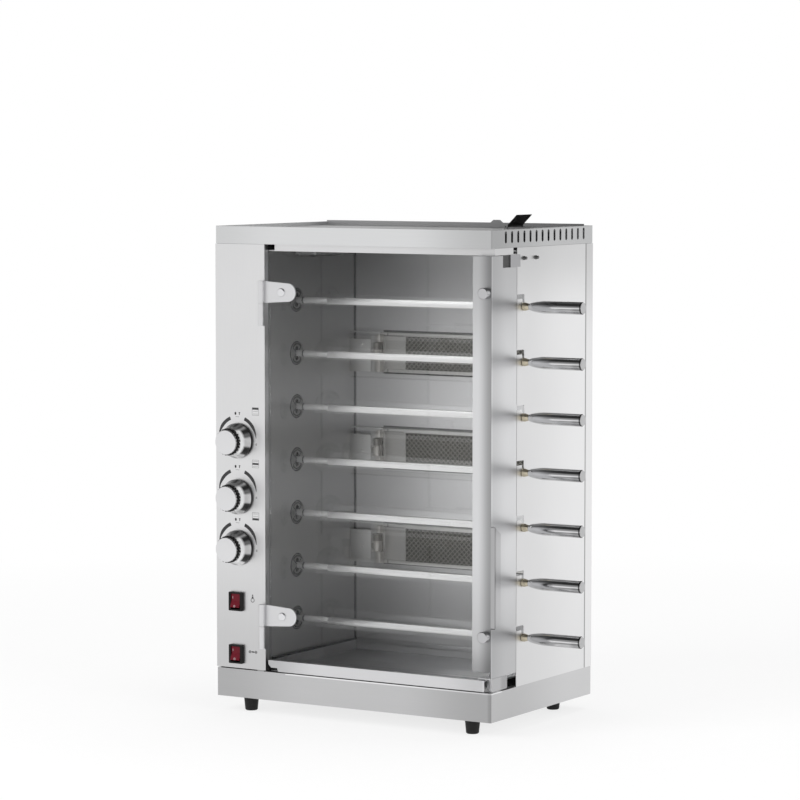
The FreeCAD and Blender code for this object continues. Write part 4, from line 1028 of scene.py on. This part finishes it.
@dataclass
class Spits:
    """The seven spits: square bar with a round shank, brass bush and bullet handle."""

    count: int = 7
    top: float = 725.5
    pitch: float = 98.0
    depth: float = 112.5
    blade: Spot = (99.6, 4.0, 10.0)
    blade_overlap: float = 0.3
    shank_start: float = 110.6
    shank_radius: float = 6.0
    shank_ends: Section = (5.2, 5.0)
    groove: Spot = (118.0, 2.0, 4.6)
    socket_face: float = 103.3
    socket_radii: Section = (15.7, 18.9)
    socket_reach: float = 52.0
    socket_depth: float = 0.3
    stroke_half: float = 0.9
    stroke_start: float = 3.0
    bar_start: float = 173.0
    bar_end: float = 562.0
    bar_width: float = 12.0
    overlap: float = 0.2
    neck: tuple[Section, ...] = ((561.8, 4.5), (563.5, 3.0), (607.1, 3.0))
    bush_start: float = 574.1
    handle_start: float = 592.1
    handle_length: float = 108.0
    handle_edge: tuple[Section, ...] = ((106.2, 11.0), (107.3, 10.0), (107.3, 8.0))
    end_disc: tuple[Section, ...] = ((-1.2, 9.2), (-0.4, 9.8), (0.0, 9.3))
    bush: tuple[Section, ...] = ((0.0, 3.2), (0.0, 7.3), (4.0, 7.3), (4.0, 3.8), (6.6, 3.8),
                                 (6.6, 7.3), (10.6, 7.3), (14.0, 6.0), (18.0, 5.5), (18.0, 3.2))
    nose: tuple[Section, ...] = ((0.0, 5.5), (3.0, 6.6), (7.0, 7.8), (12.0, 8.8), (18.0, 9.7),
                                 (24.0, 10.5), (30.0, 11.0))

    def build(self, paints: Paintbox) -> None:
        """Models one spit and copies it down the column.

        Args:
            paints: The finishes.
        """
        bar, shank = self._bar()
        bush = Bench.turned("spit_1_bush", at(self.bush_start, self.depth, self.top), Axis.RIGHT,
                            list(self.bush), soft=0.35)
        handle = self._handle()
        end = Bench.turned("spit_1_end", at(self.handle_start + self.handle_length, self.depth, self.top),
                           Axis.RIGHT, list(self.end_disc), soft=0.2)
        parts = ((bar, "bar", Finish.SPIT_STEEL, "spit_steel"), (bush, "bush", Finish.BRASS, "brass"),
                 (shank, "shank", Finish.SHANK_STEEL, "spit_steel"),
                 (handle, "handle", Finish.HANDLE_STEEL, "spit_steel"),
                 (end, "end", Finish.HANDLE_END, "spit_steel"))
        for piece, label, finish, slot in parts:
            paints.coat(piece, finish)
            for index, copy in Bench.column(piece, f"spit_{{}}_{label}", self._rises()):
                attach(copy, f"spit_{index}")
                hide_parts(f"spit_{index}")
            log.info("spit %s, %d times", label, self.count)
        self._sockets(paints)

    def _rises(self) -> list[float]:
        """How far each spit lies above the top one."""
        return [-self.pitch * index for index in range(self.count)]

    def _sockets(self, paints: Paintbox) -> None:
        """Lays a thin dark figure-of-eight sheet on the drive discs' faces: painted shade of the slot in
        each disc.

        Args:
            paints: The finishes.
        """
        centre = at(self.socket_face, self.depth, self.top)
        low = (-self.stroke_half, -self.socket_depth, self.stroke_start)
        high = (self.stroke_half, 0.0, sum(self.socket_radii) / 2.0)
        strokes = []
        for start in (0.0, 180.0):
            for turn in (self.socket_reach, -self.socket_reach):
                strokes.append(Bench.band("arc", centre, self.socket_radii, start, turn,
                                          self.socket_depth))
                stroke = Bench.lump("stroke", centre, low, high, soft=0.08)
                Bench.rotate(stroke, start + turn, centre, Axis.BACK)
                strokes.append(stroke)
        # The joined sheet is painted shade of each disc's slot, not a cut groove.
        groove = Bench.join("spit_1_socket", strokes)
        Bench.rotate(groove, 90.0, centre, Axis.UP)
        paints.coat(groove, Finish.SOCKET_DARK)
        for index, copy in Bench.column(groove, "spit_{}_socket", self._rises()):
            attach(copy, f"spit_{index}")
        log.info("socket groove, %d times", self.count)

    def _bar(self) -> tuple[bpy.types.Object, bpy.types.Object]:
        """Models the square bar with its neck, and the grooved shank with its blade.

        Returns:
            The bar and the shank of the top spit.
        """
        centre = at(0.0, self.depth, self.top)
        groove, width, deep = self.groove
        end = groove + width
        first_end, last_end = self.shank_ends
        sections = [(self.shank_start, first_end), (self.shank_start, self.shank_radius),
                    (groove, self.shank_radius), (groove, deep), (end, deep),
                    (end, self.shank_radius), (self.bar_start, self.shank_radius),
                    (self.bar_start, last_end)]
        shank = Bench.turned("spit_shank", centre, Axis.RIGHT, sections, soft=0.25)
        half = self.bar_width / 2.0
        low = at(self.bar_start - self.overlap, self.depth - half, self.top - half)
        high = at(self.bar_end, self.depth + half, self.top + half)
        bar = Bench.block("spit_square", low, high, soft=0.9)
        start, thick, tall = self.blade
        blade = Bench.block("spit_blade", at(start, self.depth - thick / 2.0, self.top - tall / 2.0),
                            at(self.shank_start + self.blade_overlap, self.depth + thick / 2.0,
                               self.top + tall / 2.0), soft=0.5)
        neck = Bench.turned("spit_neck", centre, Axis.RIGHT, list(self.neck), sides=24)
        return Bench.join("spit_1_bar", [bar, neck]), Bench.join("spit_1_shank", [shank, blade])

    def _handle(self) -> bpy.types.Object:
        """Models the bullet-shaped handle with its chamfered end.

        Returns:
            The handle of the top spit.
        """
        start = at(self.handle_start, self.depth, self.top)
        return Bench.turned("spit_1_handle", start, Axis.RIGHT, list(self.nose + self.handle_edge),
                            sides=64, soft=0.25)


@dataclass
class GasKnobs:
    """The three gas knobs: chrome skirt, black fluted grip and brushed cap."""

    x: float = 48.0
    heights: tuple[float, ...] = (472.0, 369.5, 276.0)
    skirt: tuple[Section, ...] = ((4.3, 31.0), (4.8, 32.0), (6.3, 32.0), (8.5, 31.1), (12.0, 29.6),
                                  (17.0, 27.8), (22.0, 26.4), (25.0, 25.8), (28.3, 25.4), (28.3, 23.0))
    # Painted reflection on the chrome skirt: brightness by angle clockwise from the top; the collar and the
    # rim have their own.
    sheen: tuple[Section, ...] = ((0.0, 0.10), (8.0, 0.02), (20.0, 0.18), (29.0, 0.04), (37.0, 0.50),
                                  (46.0, 0.03), (57.0, 0.03), (65.0, 0.24), (72.0, 0.16),
                                  (79.0, 0.84), (105.0, 0.84), (111.0, 0.03),
                                  (125.0, 0.01), (139.0, 0.04), (147.0, 1.0), (168.0, 1.0),
                                  (178.0, 0.25), (200.0, 0.4), (270.0, 0.6), (320.0, 0.40),
                                  (335.0, 0.08), (347.0, 0.22), (360.0, 0.10))
    collar_sheen: tuple[Section, ...] = ((0.0, 0.15), (30.0, 0.2), (42.0, 1.35), (150.0, 1.35),
                                         (175.0, 0.5), (360.0, 0.15))
    collar_depth: float = -21.0
    rim_depth: float = -5.5
    rim_sheen: float = 0.3
    cap: tuple[Section, ...] = ((36.4, 21.0), (36.4, 22.5), (40.0, 22.5), (41.0, 21.6))
    grip: Section = (28.1, 37.0)
    grip_radius: float = 24.5
    grip_edge: float = 0.8
    valley_radius: float = 21.4
    valley_reach: float = 0.24
    valley_wall: float = 0.14
    flutes: int = 24
    flute_sides: int = 6

    def build(self, paints: Paintbox) -> None:
        """Models the top knob and copies it to the others.

        Args:
            paints: The finishes.
        """
        rises = [height - self.heights[0] for height in self.heights]
        centre = at(self.x, 0.0, self.heights[0])
        skirt = self._skirt(centre)
        cap = Bench.turned("gas_knob_1_cap", centre, Axis.FRONT, list(self.cap), sides=64, soft=0.3)
        grip = self._grip(centre)
        parts = ((skirt, "skirt", Finish.CHROME, "knob_metal"),
                 (grip, "grip", Finish.BLACK_PLASTIC, "black_plastic"),
                 (cap, "cap", Finish.KNOB_CAP, "knob_metal"))
        for piece, label, finish, slot in parts:
            paints.coat(piece, finish)
            for index, copy in Bench.column(piece, f"gas_knob_{{}}_{label}", rises):
                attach(copy, f"knob_{index}")
                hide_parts(f"gas_knob_{index}")
            log.info("gas knob %s, %d times", label, len(self.heights))

    def _skirt(self, centre: Vector) -> bpy.types.Object:
        """Models the chrome skirt and notes on its points a painted reflection: how bright its sheen is
        there.

        Args:
            centre: The knob's centre on the panel's face.

        Returns:
            The skirt.
        """
        piece = Bench.turned("gas_knob_1_skirt", centre, Axis.FRONT, list(self.skirt), sides=96)
        sheen = piece.data.attributes.new("sheen", "FLOAT", "POINT")
        for vertex in piece.data.vertices:
            arm = (vertex.co - centre) * 1000.0
            turn = math.degrees(math.atan2(arm.x, arm.z)) % 360.0
            stops = self.collar_sheen if arm.y < self.collar_depth else self.sheen
            value = self._between(stops, turn)
            if arm.y > self.rim_depth:
                value = min(value, self.rim_sheen)
            sheen.data[vertex.index].value = value
        return piece

    @staticmethod
    def _between(stops: tuple[Section, ...], turn: float) -> float:
        """Reads a value between the two stops on either side of an angle."""
        for (low, first), (high, second) in zip(stops, stops[1:]):
            if low <= turn <= high:
                return first + (second - first) * (turn - low) / (high - low)
        return stops[0][1]

    def _grip(self, centre: Vector) -> bpy.types.Object:
        """Models the fluted ring: a many-sided drum whose valleys are drawn in.

        Args:
            centre: The knob's centre on the panel's face.

        Returns:
            The grip.
        """
        start, end = self.grip
        sections = [(start, self.grip_radius), (end - self.grip_edge, self.grip_radius),
                    (end, self.grip_radius - self.grip_edge)]
        piece = Bench.turned("gas_knob_1_grip", centre, Axis.FRONT, sections,
                             sides=self.flutes * self.flute_sides)
        for vertex in piece.data.vertices:
            arm = vertex.co - centre
            turn = math.atan2(arm.x, arm.z) * self.flutes / (2.0 * math.pi)
            valley = 0.5 - abs(turn - math.floor(turn) - 0.5)
            share = max(0.0, min(1.0, (self.valley_reach - valley) / self.valley_wall))
            drawn = 1.0 + (self.valley_radius / self.grip_radius - 1.0) * share
            vertex.co = centre + Vector((arm.x * drawn, arm.y, arm.z * drawn))
        return piece


@dataclass
class PanelPrints:
    """The plain marks printed on the control panel: dial arcs and small pictures."""

    ink: float = 0.15
    dial_x: float = 47.1
    dial_heights: tuple[float, ...] = (474.6, 377.5, 280.4)
    arc: Section = (37.6, 43.8)
    arc_run: Section = (22.0, 64.0)
    arc_tip: float = 0.12
    dial_marks: tuple[Stroke, ...] = ((-4.4, 47.0, 3.6, 3.8), (-4.4, 47.0, 1.6, 5.6),
                                      (4.2, 47.0, 1.5, 5.2), (4.2, 48.6, 3.4, 1.2))
    faint_marks: tuple[Stroke, ...] = ((-0.4, 41.0, 8.0, 0.8), (41.0, -8.0, 3.4, 4.2))
    burner_x: float = 86.3
    burner_heights: tuple[float, ...] = (526.8, 431.1, 335.1)
    burner_size: float = 14.0
    line: float = 0.7
    thin_level: float = 4.6
    thick_level: float = 4.9
    thick_line: float = 3.4
    bulb: Section = (79.0, 183.4)
    bulb_radii: Section = (3.0, 4.0)
    bulb_drop: float = -2.4
    bulb_marks: tuple[Stroke, ...] = ((0.0, 3.0, 3.4, 3.2), (0.0, 6.6, 2.2, 2.6))
    spit: Section = (79.4, 85.9)
    spit_bar: Stroke = (0.0, 0.0, 16.0, 0.9)
    spit_load: Stroke = (0.0, 0.0, 5.0, 2.4)
    spit_grips: Section = (-6.6, 6.6)
    spit_radii: Section = (1.6, 2.6)

    def build(self, paints: Paintbox) -> None:
        """Prints every mark.

        Args:
            paints: The finishes.
        """
        for index, height in enumerate(self.dial_heights, start=1):
            self._finish(paints, f"dial_{index}_arcs", self._dial(height), Finish.PRINT_INK)
            self._finish(paints, f"dial_{index}_faint", self._faint(height), Finish.FAINT_INK)
        for index, height in enumerate(self.burner_heights):
            thin, thick = self._burner(height, index)
            self._finish(paints, f"burner_picture_{index + 1}_frame", thin, Finish.FAINT_INK)
            self._finish(paints, f"burner_picture_{index + 1}_row", thick, Finish.PRINT_INK)
        self._finish(paints, "lamp_picture", self._bulb(), Finish.PRINT_INK)
        self._finish(paints, "spit_picture", self._spit(), Finish.PRINT_INK)

    def _finish(self, paints: Paintbox, name: str, parts: list[bpy.types.Object],
                finish: Finish) -> None:
        """Joins the strokes of a mark and puts it on the casing.

        Args:
            paints: The finishes.
            name: The mark's name.
            parts: Its strokes.
            finish: Its ink.
        """
        mark = Bench.join(name, parts)
        paints.coat(mark, finish)
        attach(mark, "casing")
        log.info("print %s", name)

    def _stroke(self, x: float, z: float, width: float, height: float) -> bpy.types.Object:
        """Prints an upright or level stroke round a centre, in millimetres."""
        return Bench.block("stroke", at(x - width / 2.0, -self.ink, z - height / 2.0),
                           at(x + width / 2.0, 0.02, z + height / 2.0), soft=0.05)

    def _strokes(self, x: float, z: float, marks: Iterable[Stroke]) -> list[bpy.types.Object]:
        """Prints strokes, each given by its place from a centre, its width and its height."""
        return [self._stroke(x + right, z + up, width, height) for right, up, width, height in marks]

    def _ring(self, x: float, z: float, radii: Section, start: float = 0.0,
              turn: float = 359.9, tip: float = 1.0) -> bpy.types.Object:
        """Prints an arc round a centre, in millimetres and degrees."""
        return Bench.band("arc", at(x, 0.0, z), radii, start, turn, self.ink, tip)

    def _dial(self, z: float) -> list[bpy.types.Object]:
        """Prints a dial's two tapered arcs and its mark at the top.

        Args:
            z: The dial's height.

        Returns:
            The strokes.
        """
        start, run = self.arc_run
        arcs = [self._ring(self.dial_x, z, self.arc, side * start, side * run, self.arc_tip)
                for side in (1.0, -1.0)]
        return arcs + self._strokes(self.dial_x, z, self.dial_marks)

    def _faint(self, z: float) -> list[bpy.types.Object]:
        """Prints a dial's faint lines: a bar under the mark and one at the right."""
        return self._strokes(self.dial_x, z, self.faint_marks)

    def _burner(self, z: float, row: int) -> tuple[list[bpy.types.Object], list[bpy.types.Object]]:
        """Prints a picture of three burners with one of them filled.

        Args:
            z: The picture's height.
            row: Which burner is filled, from the top.

        Returns:
            The thin strokes and the filled ones.
        """
        half = self.burner_size / 2.0
        x = self.burner_x
        levels = (1.0, 0.0, -1.0)
        thin = [self._stroke(x, z + side * half, self.burner_size, self.line) for side in (-1.0, 1.0)]
        thin += [self._stroke(x + side * half, z, self.line, self.burner_size) for side in (-1.0, 1.0)]
        thin += [self._stroke(x, z + level * self.thin_level, self.burner_size - 3.0, self.line)
                 for index, level in enumerate(levels) if index != row]
        return thin, [self._stroke(x, z + levels[row] * self.thick_level, self.burner_size - 0.4,
                                   self.thick_line)]

    def _bulb(self) -> list[bpy.types.Object]:
        """Prints a picture of a bulb with its cap up."""
        x, z = self.bulb
        return [self._ring(x, z + self.bulb_drop, self.bulb_radii)] + self._strokes(x, z, self.bulb_marks)

    def _spit(self) -> list[bpy.types.Object]:
        """Prints a picture of a spit with a handle at each end."""
        x, z = self.spit
        rings = [self._ring(x + grip, z, self.spit_radii) for grip in self.spit_grips]
        first, last = self._strokes(x, z, (self.spit_bar, self.spit_load))
        return [first, *rings, last]


@dataclass
class SwitchMarks:
    """The bar and ring on each rocker, laid on its face wherever that leans."""

    bar_x: float = 38.2
    bar_low: Spot = (-0.8, -0.25, -2.3)
    bar_high: Spot = (0.8, 0.1, 2.3)
    ring_x: float = 43.8
    switches: tuple[tuple[str, str, float], ...] = (("lamp_switch", "lamp_rocker", 177.0),
                                                    ("motor_switch", "motor_rocker", 80.0))
    bar_rise: float = 7.1
    ring_drop: float = 8.5
    ring_radii: Section = (0.9, 2.2)

    def build(self, paints: Paintbox) -> None:
        """Puts both marks on each rocker.

        Args:
            paints: The finishes.
        """
        for body, node, z in self.switches:
            place, tilt = self._spot(node, self.bar_x, z + self.bar_rise)
            bar = Bench.lump(f"{body}_bar", place, self.bar_low, self.bar_high, soft=0.1)
            Bench.rotate(bar, tilt, place, Axis.RIGHT)
            place, tilt = self._spot(node, self.ring_x, z - self.ring_drop)
            ring = Bench.band(f"{body}_ring", place, self.ring_radii, 0.0, 359.9, 0.3)
            Bench.rotate(ring, tilt, place, Axis.RIGHT)
            mark = Bench.join(f"{body}_marks", [bar, ring])
            paints.coat(mark, Finish.MARK_PALE)
            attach(mark, body)
            log.info("marks on %s", body)

    @staticmethod
    def _spot(node: str, x: float, z: float) -> tuple[Vector, float]:
        """Finds a place on a rocker's face.

        Args:
            node: The rocker's node.
            x: How far to the right it looks.
            z: The height to look at.

        Returns:
            The place and the turn, in degrees, that lays a mark flat on it.
        """
        hit, place, normal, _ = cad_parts[node].ray_cast(at(x, -60.0, z),
                                                              Vector((0.0, 1.0, 0.0)))
        if not hit:
            raise RuntimeError(f"no face on {node} at {z}")
        return place, -math.degrees(math.atan2(normal.z, -normal.y))


@dataclass
class BurnerEnds:
    """What fills the chamber's left end beside each burner: shield, flanges and pilot."""

    heights: tuple[float, ...] = (621.0, 441.0, 261.0)
    left: float = 103.2
    plate_right: float = 150.0
    flange_right: float = 169.6
    web_right: float = 173.0
    front: float = 295.0
    back: float = 313.0
    half: float = 37.0
    plate_top: float = 24.0
    sheet: float = 1.2
    pilot_x: float = 169.0
    pilot_y: float = 287.0
    barrel: tuple[Section, ...] = ((-14.0, 7.6), (-13.0, 8.6), (3.4, 8.6), (4.4, 8.0))
    hood: Lump = ("hood", (-1.0, -6.0, 20.0), (9.6, 9.6, 35.0), 2.4)
    collar: Lump = ("collar", (-10.0, -9.0, 4.6), (9.6, 9.6, 5.8), 0.4)
    foot: Lump = ("foot", (-10.0, -9.0, -15.6), (9.6, 9.6, -14.2), 0.4)
    stem: Lump = ("stem", (-2.0, -4.0, -36.0), (8.6, 9.6, -15.6), 0.8)
    port: Lump = ("port", (-8.0, -8.9, -9.0), (-2.4, 2.0, 1.0), 0.8)
    neck: tuple[Section, ...] = ((5.4, 8.8), (9.4, 8.8), (9.4, 7.4), (11.0, 7.4), (11.0, 9.0),
                                 (14.6, 9.0), (14.6, 7.2), (16.0, 7.2), (16.0, 8.8), (18.6, 8.8))

    def build(self, paints: Paintbox) -> None:
        """Models the top burner's end and copies it to the others.

        Args:
            paints: The finishes.
        """
        top = self.heights[0]
        rises = [height - top for height in self.heights]
        parts = ((self._shield(top), "shield", Finish.SHIELD_STEEL, "burner_shields", "burner_steel"),
                 (self._pale(top), "pilot_hood", Finish.PILOT_METAL, "pilot_burners", "pilot_metal"),
                 (self._dark(top), "pilot_neck", Finish.PILOT_DARK, "pilot_burners", "pilot_metal"))
        for piece, label, finish, node, slot in parts:
            paints.coat(piece, finish)
            for _, copy in Bench.column(piece, f"burner_{{}}_{label}", rises):
                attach(copy, "casing")
                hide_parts(node)
            log.info("burner %s, %d times", label, len(self.heights))

    def _sheet(self, x: Section, y: Section, z: Section) -> bpy.types.Object:
        """Models a piece of sheet between two places on each axis, in millimetres."""
        return Bench.block("sheet", at(x[0], y[0], z[0]), at(x[1], y[1], z[1]), soft=0.3)

    def _shield(self, z: float) -> bpy.types.Object:
        """Models the folded plate between the two flanges.

        Args:
            z: The burner's height.

        Returns:
            The shield.
        """
        flanges = [self._sheet((self.left, self.flange_right), (self.front, self.back),
                               (z + side * self.half - self.sheet / 2.0,
                                z + side * self.half + self.sheet / 2.0)) for side in (1.0, -1.0)]
        plate = self._sheet((self.left, self.plate_right), (self.front, self.front + self.sheet),
                            (z - self.half, z + self.plate_top))
        fold = self._sheet((self.plate_right - self.sheet, self.plate_right), (self.front, self.back),
                           (z - self.half, z + self.plate_top))
        web = self._sheet((self.plate_right, self.web_right), (self.front, self.front + self.sheet),
                          (z - self.half, z + self.half))
        return Bench.join("burner_1_shield", [plate, fold, web] + flanges)

    def _pale(self, z: float) -> bpy.types.Object:
        """Models the pilot's hood, its collar plate and its barrel.

        Args:
            z: The burner's height.

        Returns:
            The pale parts of the pilot.
        """
        centre = at(self.pilot_x, self.pilot_y, z)
        hood, collar = self._lumps(centre, self.hood, self.collar)
        barrel = Bench.turned("barrel", centre, Axis.UP, list(self.barrel), sides=40)
        foot, stem = self._lumps(centre, self.foot, self.stem)
        return Bench.join("burner_1_pilot_hood", [hood, collar, barrel, foot, stem])

    @staticmethod
    def _lumps(centre: Vector, *lumps: Lump) -> list[bpy.types.Object]:
        """Models bevelled boxes round the pilot's centre."""
        return [Bench.lump(name, centre, low, high, soft) for name, low, high, soft in lumps]

    def _dark(self, z: float) -> bpy.types.Object:
        """Models the pilot's ridged neck and the port in its barrel.

        Args:
            z: The burner's height.

        Returns:
            The dark parts of the pilot.
        """
        centre = at(self.pilot_x, self.pilot_y, z)
        neck = Bench.turned("neck", centre, Axis.UP, list(self.neck), sides=32)
        return Bench.join("burner_1_pilot_neck", [neck, *self._lumps(centre, self.port)])


@dataclass
class TrayRims:
    """The folded rims that stand on the drip tray's left and back walls."""

    left: float = 108.5
    right: float = 564.0
    front: float = 18.0
    back: float = 309.0
    sheet: float = 1.2
    bottom: float = 66.0
    top: float = 76.5

    def build(self, paints: Paintbox) -> None:
        """Models the two rims as one piece on the tray.

        Args:
            paints: The finishes.
        """
        side = Bench.block("side_rim", at(self.left, self.front, self.bottom),
                           at(self.left + self.sheet, self.back, self.top), soft=0.4)
        rear = Bench.block("rear_rim", at(self.left, self.back - self.sheet, self.bottom),
                           at(self.right, self.back, self.top), soft=0.4)
        rims = Bench.join("tray_rims", [side, rear])
        paints.coat(rims, Finish.TRAY_STEEL)
        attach(rims, "tray")
        log.info("tray rims")


@dataclass
class Fixings:
    """The small screws that hold the catch and the burner shields."""

    catch_places: tuple[float, ...] = (114.0, 156.5)
    catch_height: float = 811.0
    side: float = 580.0
    shield_x: float = 130.5
    shield_heights: tuple[float, ...] = (635.5, 613.5, 455.5, 433.5, 275.5, 253.5)
    shield_front: float = 295.0
    stud: tuple[Section, ...] = ((-0.3, 3.6), (1.4, 3.6), (1.8, 2.8), (5.2, 2.8), (5.8, 2.2))
    head: tuple[Section, ...] = ((-0.3, 2.6), (0.4, 3.0), (1.2, 2.4), (1.7, 1.2))

    def build(self, paints: Paintbox) -> None:
        """Models one screw of each kind and copies it to its places.

        Args:
            paints: The finishes.
        """
        first = Bench.turned("catch_screw_1", at(self.side, self.catch_places[0], self.catch_height),
                             Axis.RIGHT, list(self.stud), sides=24)
        second = Bench.copy(first, "catch_screw_2",
                            Vector((0.0, mm(self.catch_places[1] - self.catch_places[0]), 0.0)))
        for screw in (first, second):
            paints.coat(screw, Finish.GEAR_STEEL)
            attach(screw, "casing")
        screws = [Bench.turned("shield_screw", at(self.shield_x, self.shield_front, z), Axis.FRONT,
                               list(self.head), sides=20) for z in self.shield_heights]
        joined = Bench.join("shield_screws", screws)
        paints.coat(joined, Finish.BURNER_STEEL)
        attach(joined, "casing")
        log.info("fixings: %d", len(screws) + 2)


@dataclass
class Studio:
    """The pale floor, the soft lamps, the world and the camera."""

    lamps: tuple[tuple[str, Spot, Spot, float, float], ...] = (
        ("key_lamp", (-1.6, -3.4, 2.6), (0.0, 0.0, 0.45), 2.4, 95.0),
        ("right_lamp", (3.6, -0.6, 2.2), (0.0, 0.0, 0.45), 2.2, 45.0),
        ("top_lamp", (0.2, 0.6, 3.6), (0.0, 0.0, 0.5), 2.0, 40.0))
    camera_place: Spot = (3.11455, -5.2105, 1.0520)
    camera_tilt: float = 85.496
    camera_turn: float = 31.3715
    lens: float = 150.777
    floor_size: float = 14.0
    floor_colour: Colour = (0.86, 0.86, 0.86)
    floor_light: Colour = (0.9, 0.9, 0.9)
    world_level: float = 0.55

    def build(self) -> None:
        """Sets up the whole studio."""
        scene = bpy.context.scene
        scene.view_settings.view_transform = "Standard"
        self._floor()
        self._world(scene)
        for lamp in self.lamps:
            self._lamp(*lamp)
        self._camera(scene)
        log.info("studio ready")

    def _floor(self) -> None:
        """Adds the pale floor, which shows near white and keeps the shadow."""
        Bench.clear()
        bpy.ops.mesh.primitive_plane_add(size=self.floor_size, location=(0.0, 0.0, 0.0))
        floor = Bench.settle("studio_floor")
        board = Surface("pale_floor")
        noise = board.node("ShaderNodeTexNoise", {"Vector": board.place, "Scale": 30.0, "Detail": 3.0})
        tone = board.mixed(noise.outputs[0], rgba(self.floor_colour), rgba(self.floor_light))
        board.fill(board.shader, {"Roughness": 0.9, "Base Color": tone})
        path = board.node("ShaderNodeLightPath")
        seen = board.math("MAXIMUM", path.outputs["Is Camera Ray"],
                          board.math("MAXIMUM", path.outputs["Is Glossy Ray"],
                                     path.outputs["Is Transmission Ray"]))
        glow = board.node("ShaderNodeEmission", {"Color": rgba(WHITE), "Strength": 1.0})
        distance = board.node("ShaderNodeVectorMath", {0: board.place}, operation="LENGTH")
        cover = board.ranged(distance.outputs["Value"], 0.76, 1.0, 0.9, 2.4)
        mixer = board.node("ShaderNodeMixShader", {0: board.math("MULTIPLY", seen, cover),
                                                   1: board.shader.outputs[0],
                                                   2: glow.outputs[0]})
        board.fill(board.tree.nodes["Material Output"], {"Surface": mixer.outputs[0]})
        floor.data.materials.append(board.material)

    def _world(self, scene: bpy.types.Scene) -> None:
        """Lights the room evenly and shows it white to the camera, dark overhead in metal.

        Args:
            scene: The scene to light.
        """
        world = bpy.data.worlds.new("studio_world")
        world.use_nodes = True
        scene.world = world
        board = Board(world.node_tree)
        board.tree.nodes.clear()
        direction = board.node("ShaderNodeTexCoord").outputs["Generated"]
        split = board.node("ShaderNodeSeparateXYZ", {"Vector": direction})
        height = board.node("ShaderNodeMapRange", {"Value": split.outputs["Z"], "From Min": 0.22,
                                                   "From Max": 0.60, "To Min": 1.0, "To Max": 0.06},
                            interpolation_type="SMOOTHSTEP")
        even, mirrored, white = [
            board.node("ShaderNodeBackground", {"Color": rgba(WHITE), "Strength": strength}).outputs[0]
            for strength in (self.world_level, height.outputs[0], 1.0)]
        path = board.node("ShaderNodeLightPath")
        seen = board.math("MAXIMUM", path.outputs["Is Camera Ray"], path.outputs["Is Transmission Ray"])
        first = board.node("ShaderNodeMixShader", {0: path.outputs["Is Glossy Ray"], 1: even,
                                                   2: mirrored})
        second = board.node("ShaderNodeMixShader", {0: seen, 1: first.outputs[0], 2: white})
        board.node("ShaderNodeOutputWorld", {"Surface": second.outputs[0]})

    @staticmethod
    def _lamp(name: str, place: Spot, aim: Spot, size: float, power: float) -> None:
        """Adds a square soft lamp.

        Args:
            name: The lamp's name.
            place: Where it hangs.
            aim: The point that it faces.
            size: Its side in metres.
            power: Its power in watts.
        """
        light = bpy.data.lights.new(name, "AREA")
        light.shape = "SQUARE"
        light.size = size
        light.energy = power
        lamp = bpy.data.objects.new(name, light)
        bpy.context.scene.collection.objects.link(lamp)
        lamp.location = place
        lamp.visible_glossy = False
        lamp.rotation_euler = (Vector(aim) - Vector(place)).to_track_quat("-Z", "Y").to_euler()

    def _camera(self, scene: bpy.types.Scene) -> None:
        """Puts the camera at the photograph's angle.

        Args:
            scene: The scene that it films.
        """
        data = bpy.data.cameras.new("photo_camera")
        data.lens = self.lens
        data.sensor_width = 36.0
        data.clip_end = 60.0
        camera = bpy.data.objects.new("photo_camera", data)
        scene.collection.objects.link(camera)
        camera.location = self.camera_place
        camera.rotation_euler = (math.radians(self.camera_tilt), 0.0, math.radians(self.camera_turn))
        scene.camera = camera


def main() -> None:
    """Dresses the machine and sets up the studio."""
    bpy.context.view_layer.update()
    paints = Paintbox()
    Studio().build()
    for assembly in (Casing(), Spits(), GasKnobs(), PanelPrints(), SwitchMarks(), BurnerEnds(),
                     TrayRims(), Fixings()):
        assembly.build(paints)
        log.info("%s done", type(assembly).__name__)


if __name__ == "__main__":
    main()
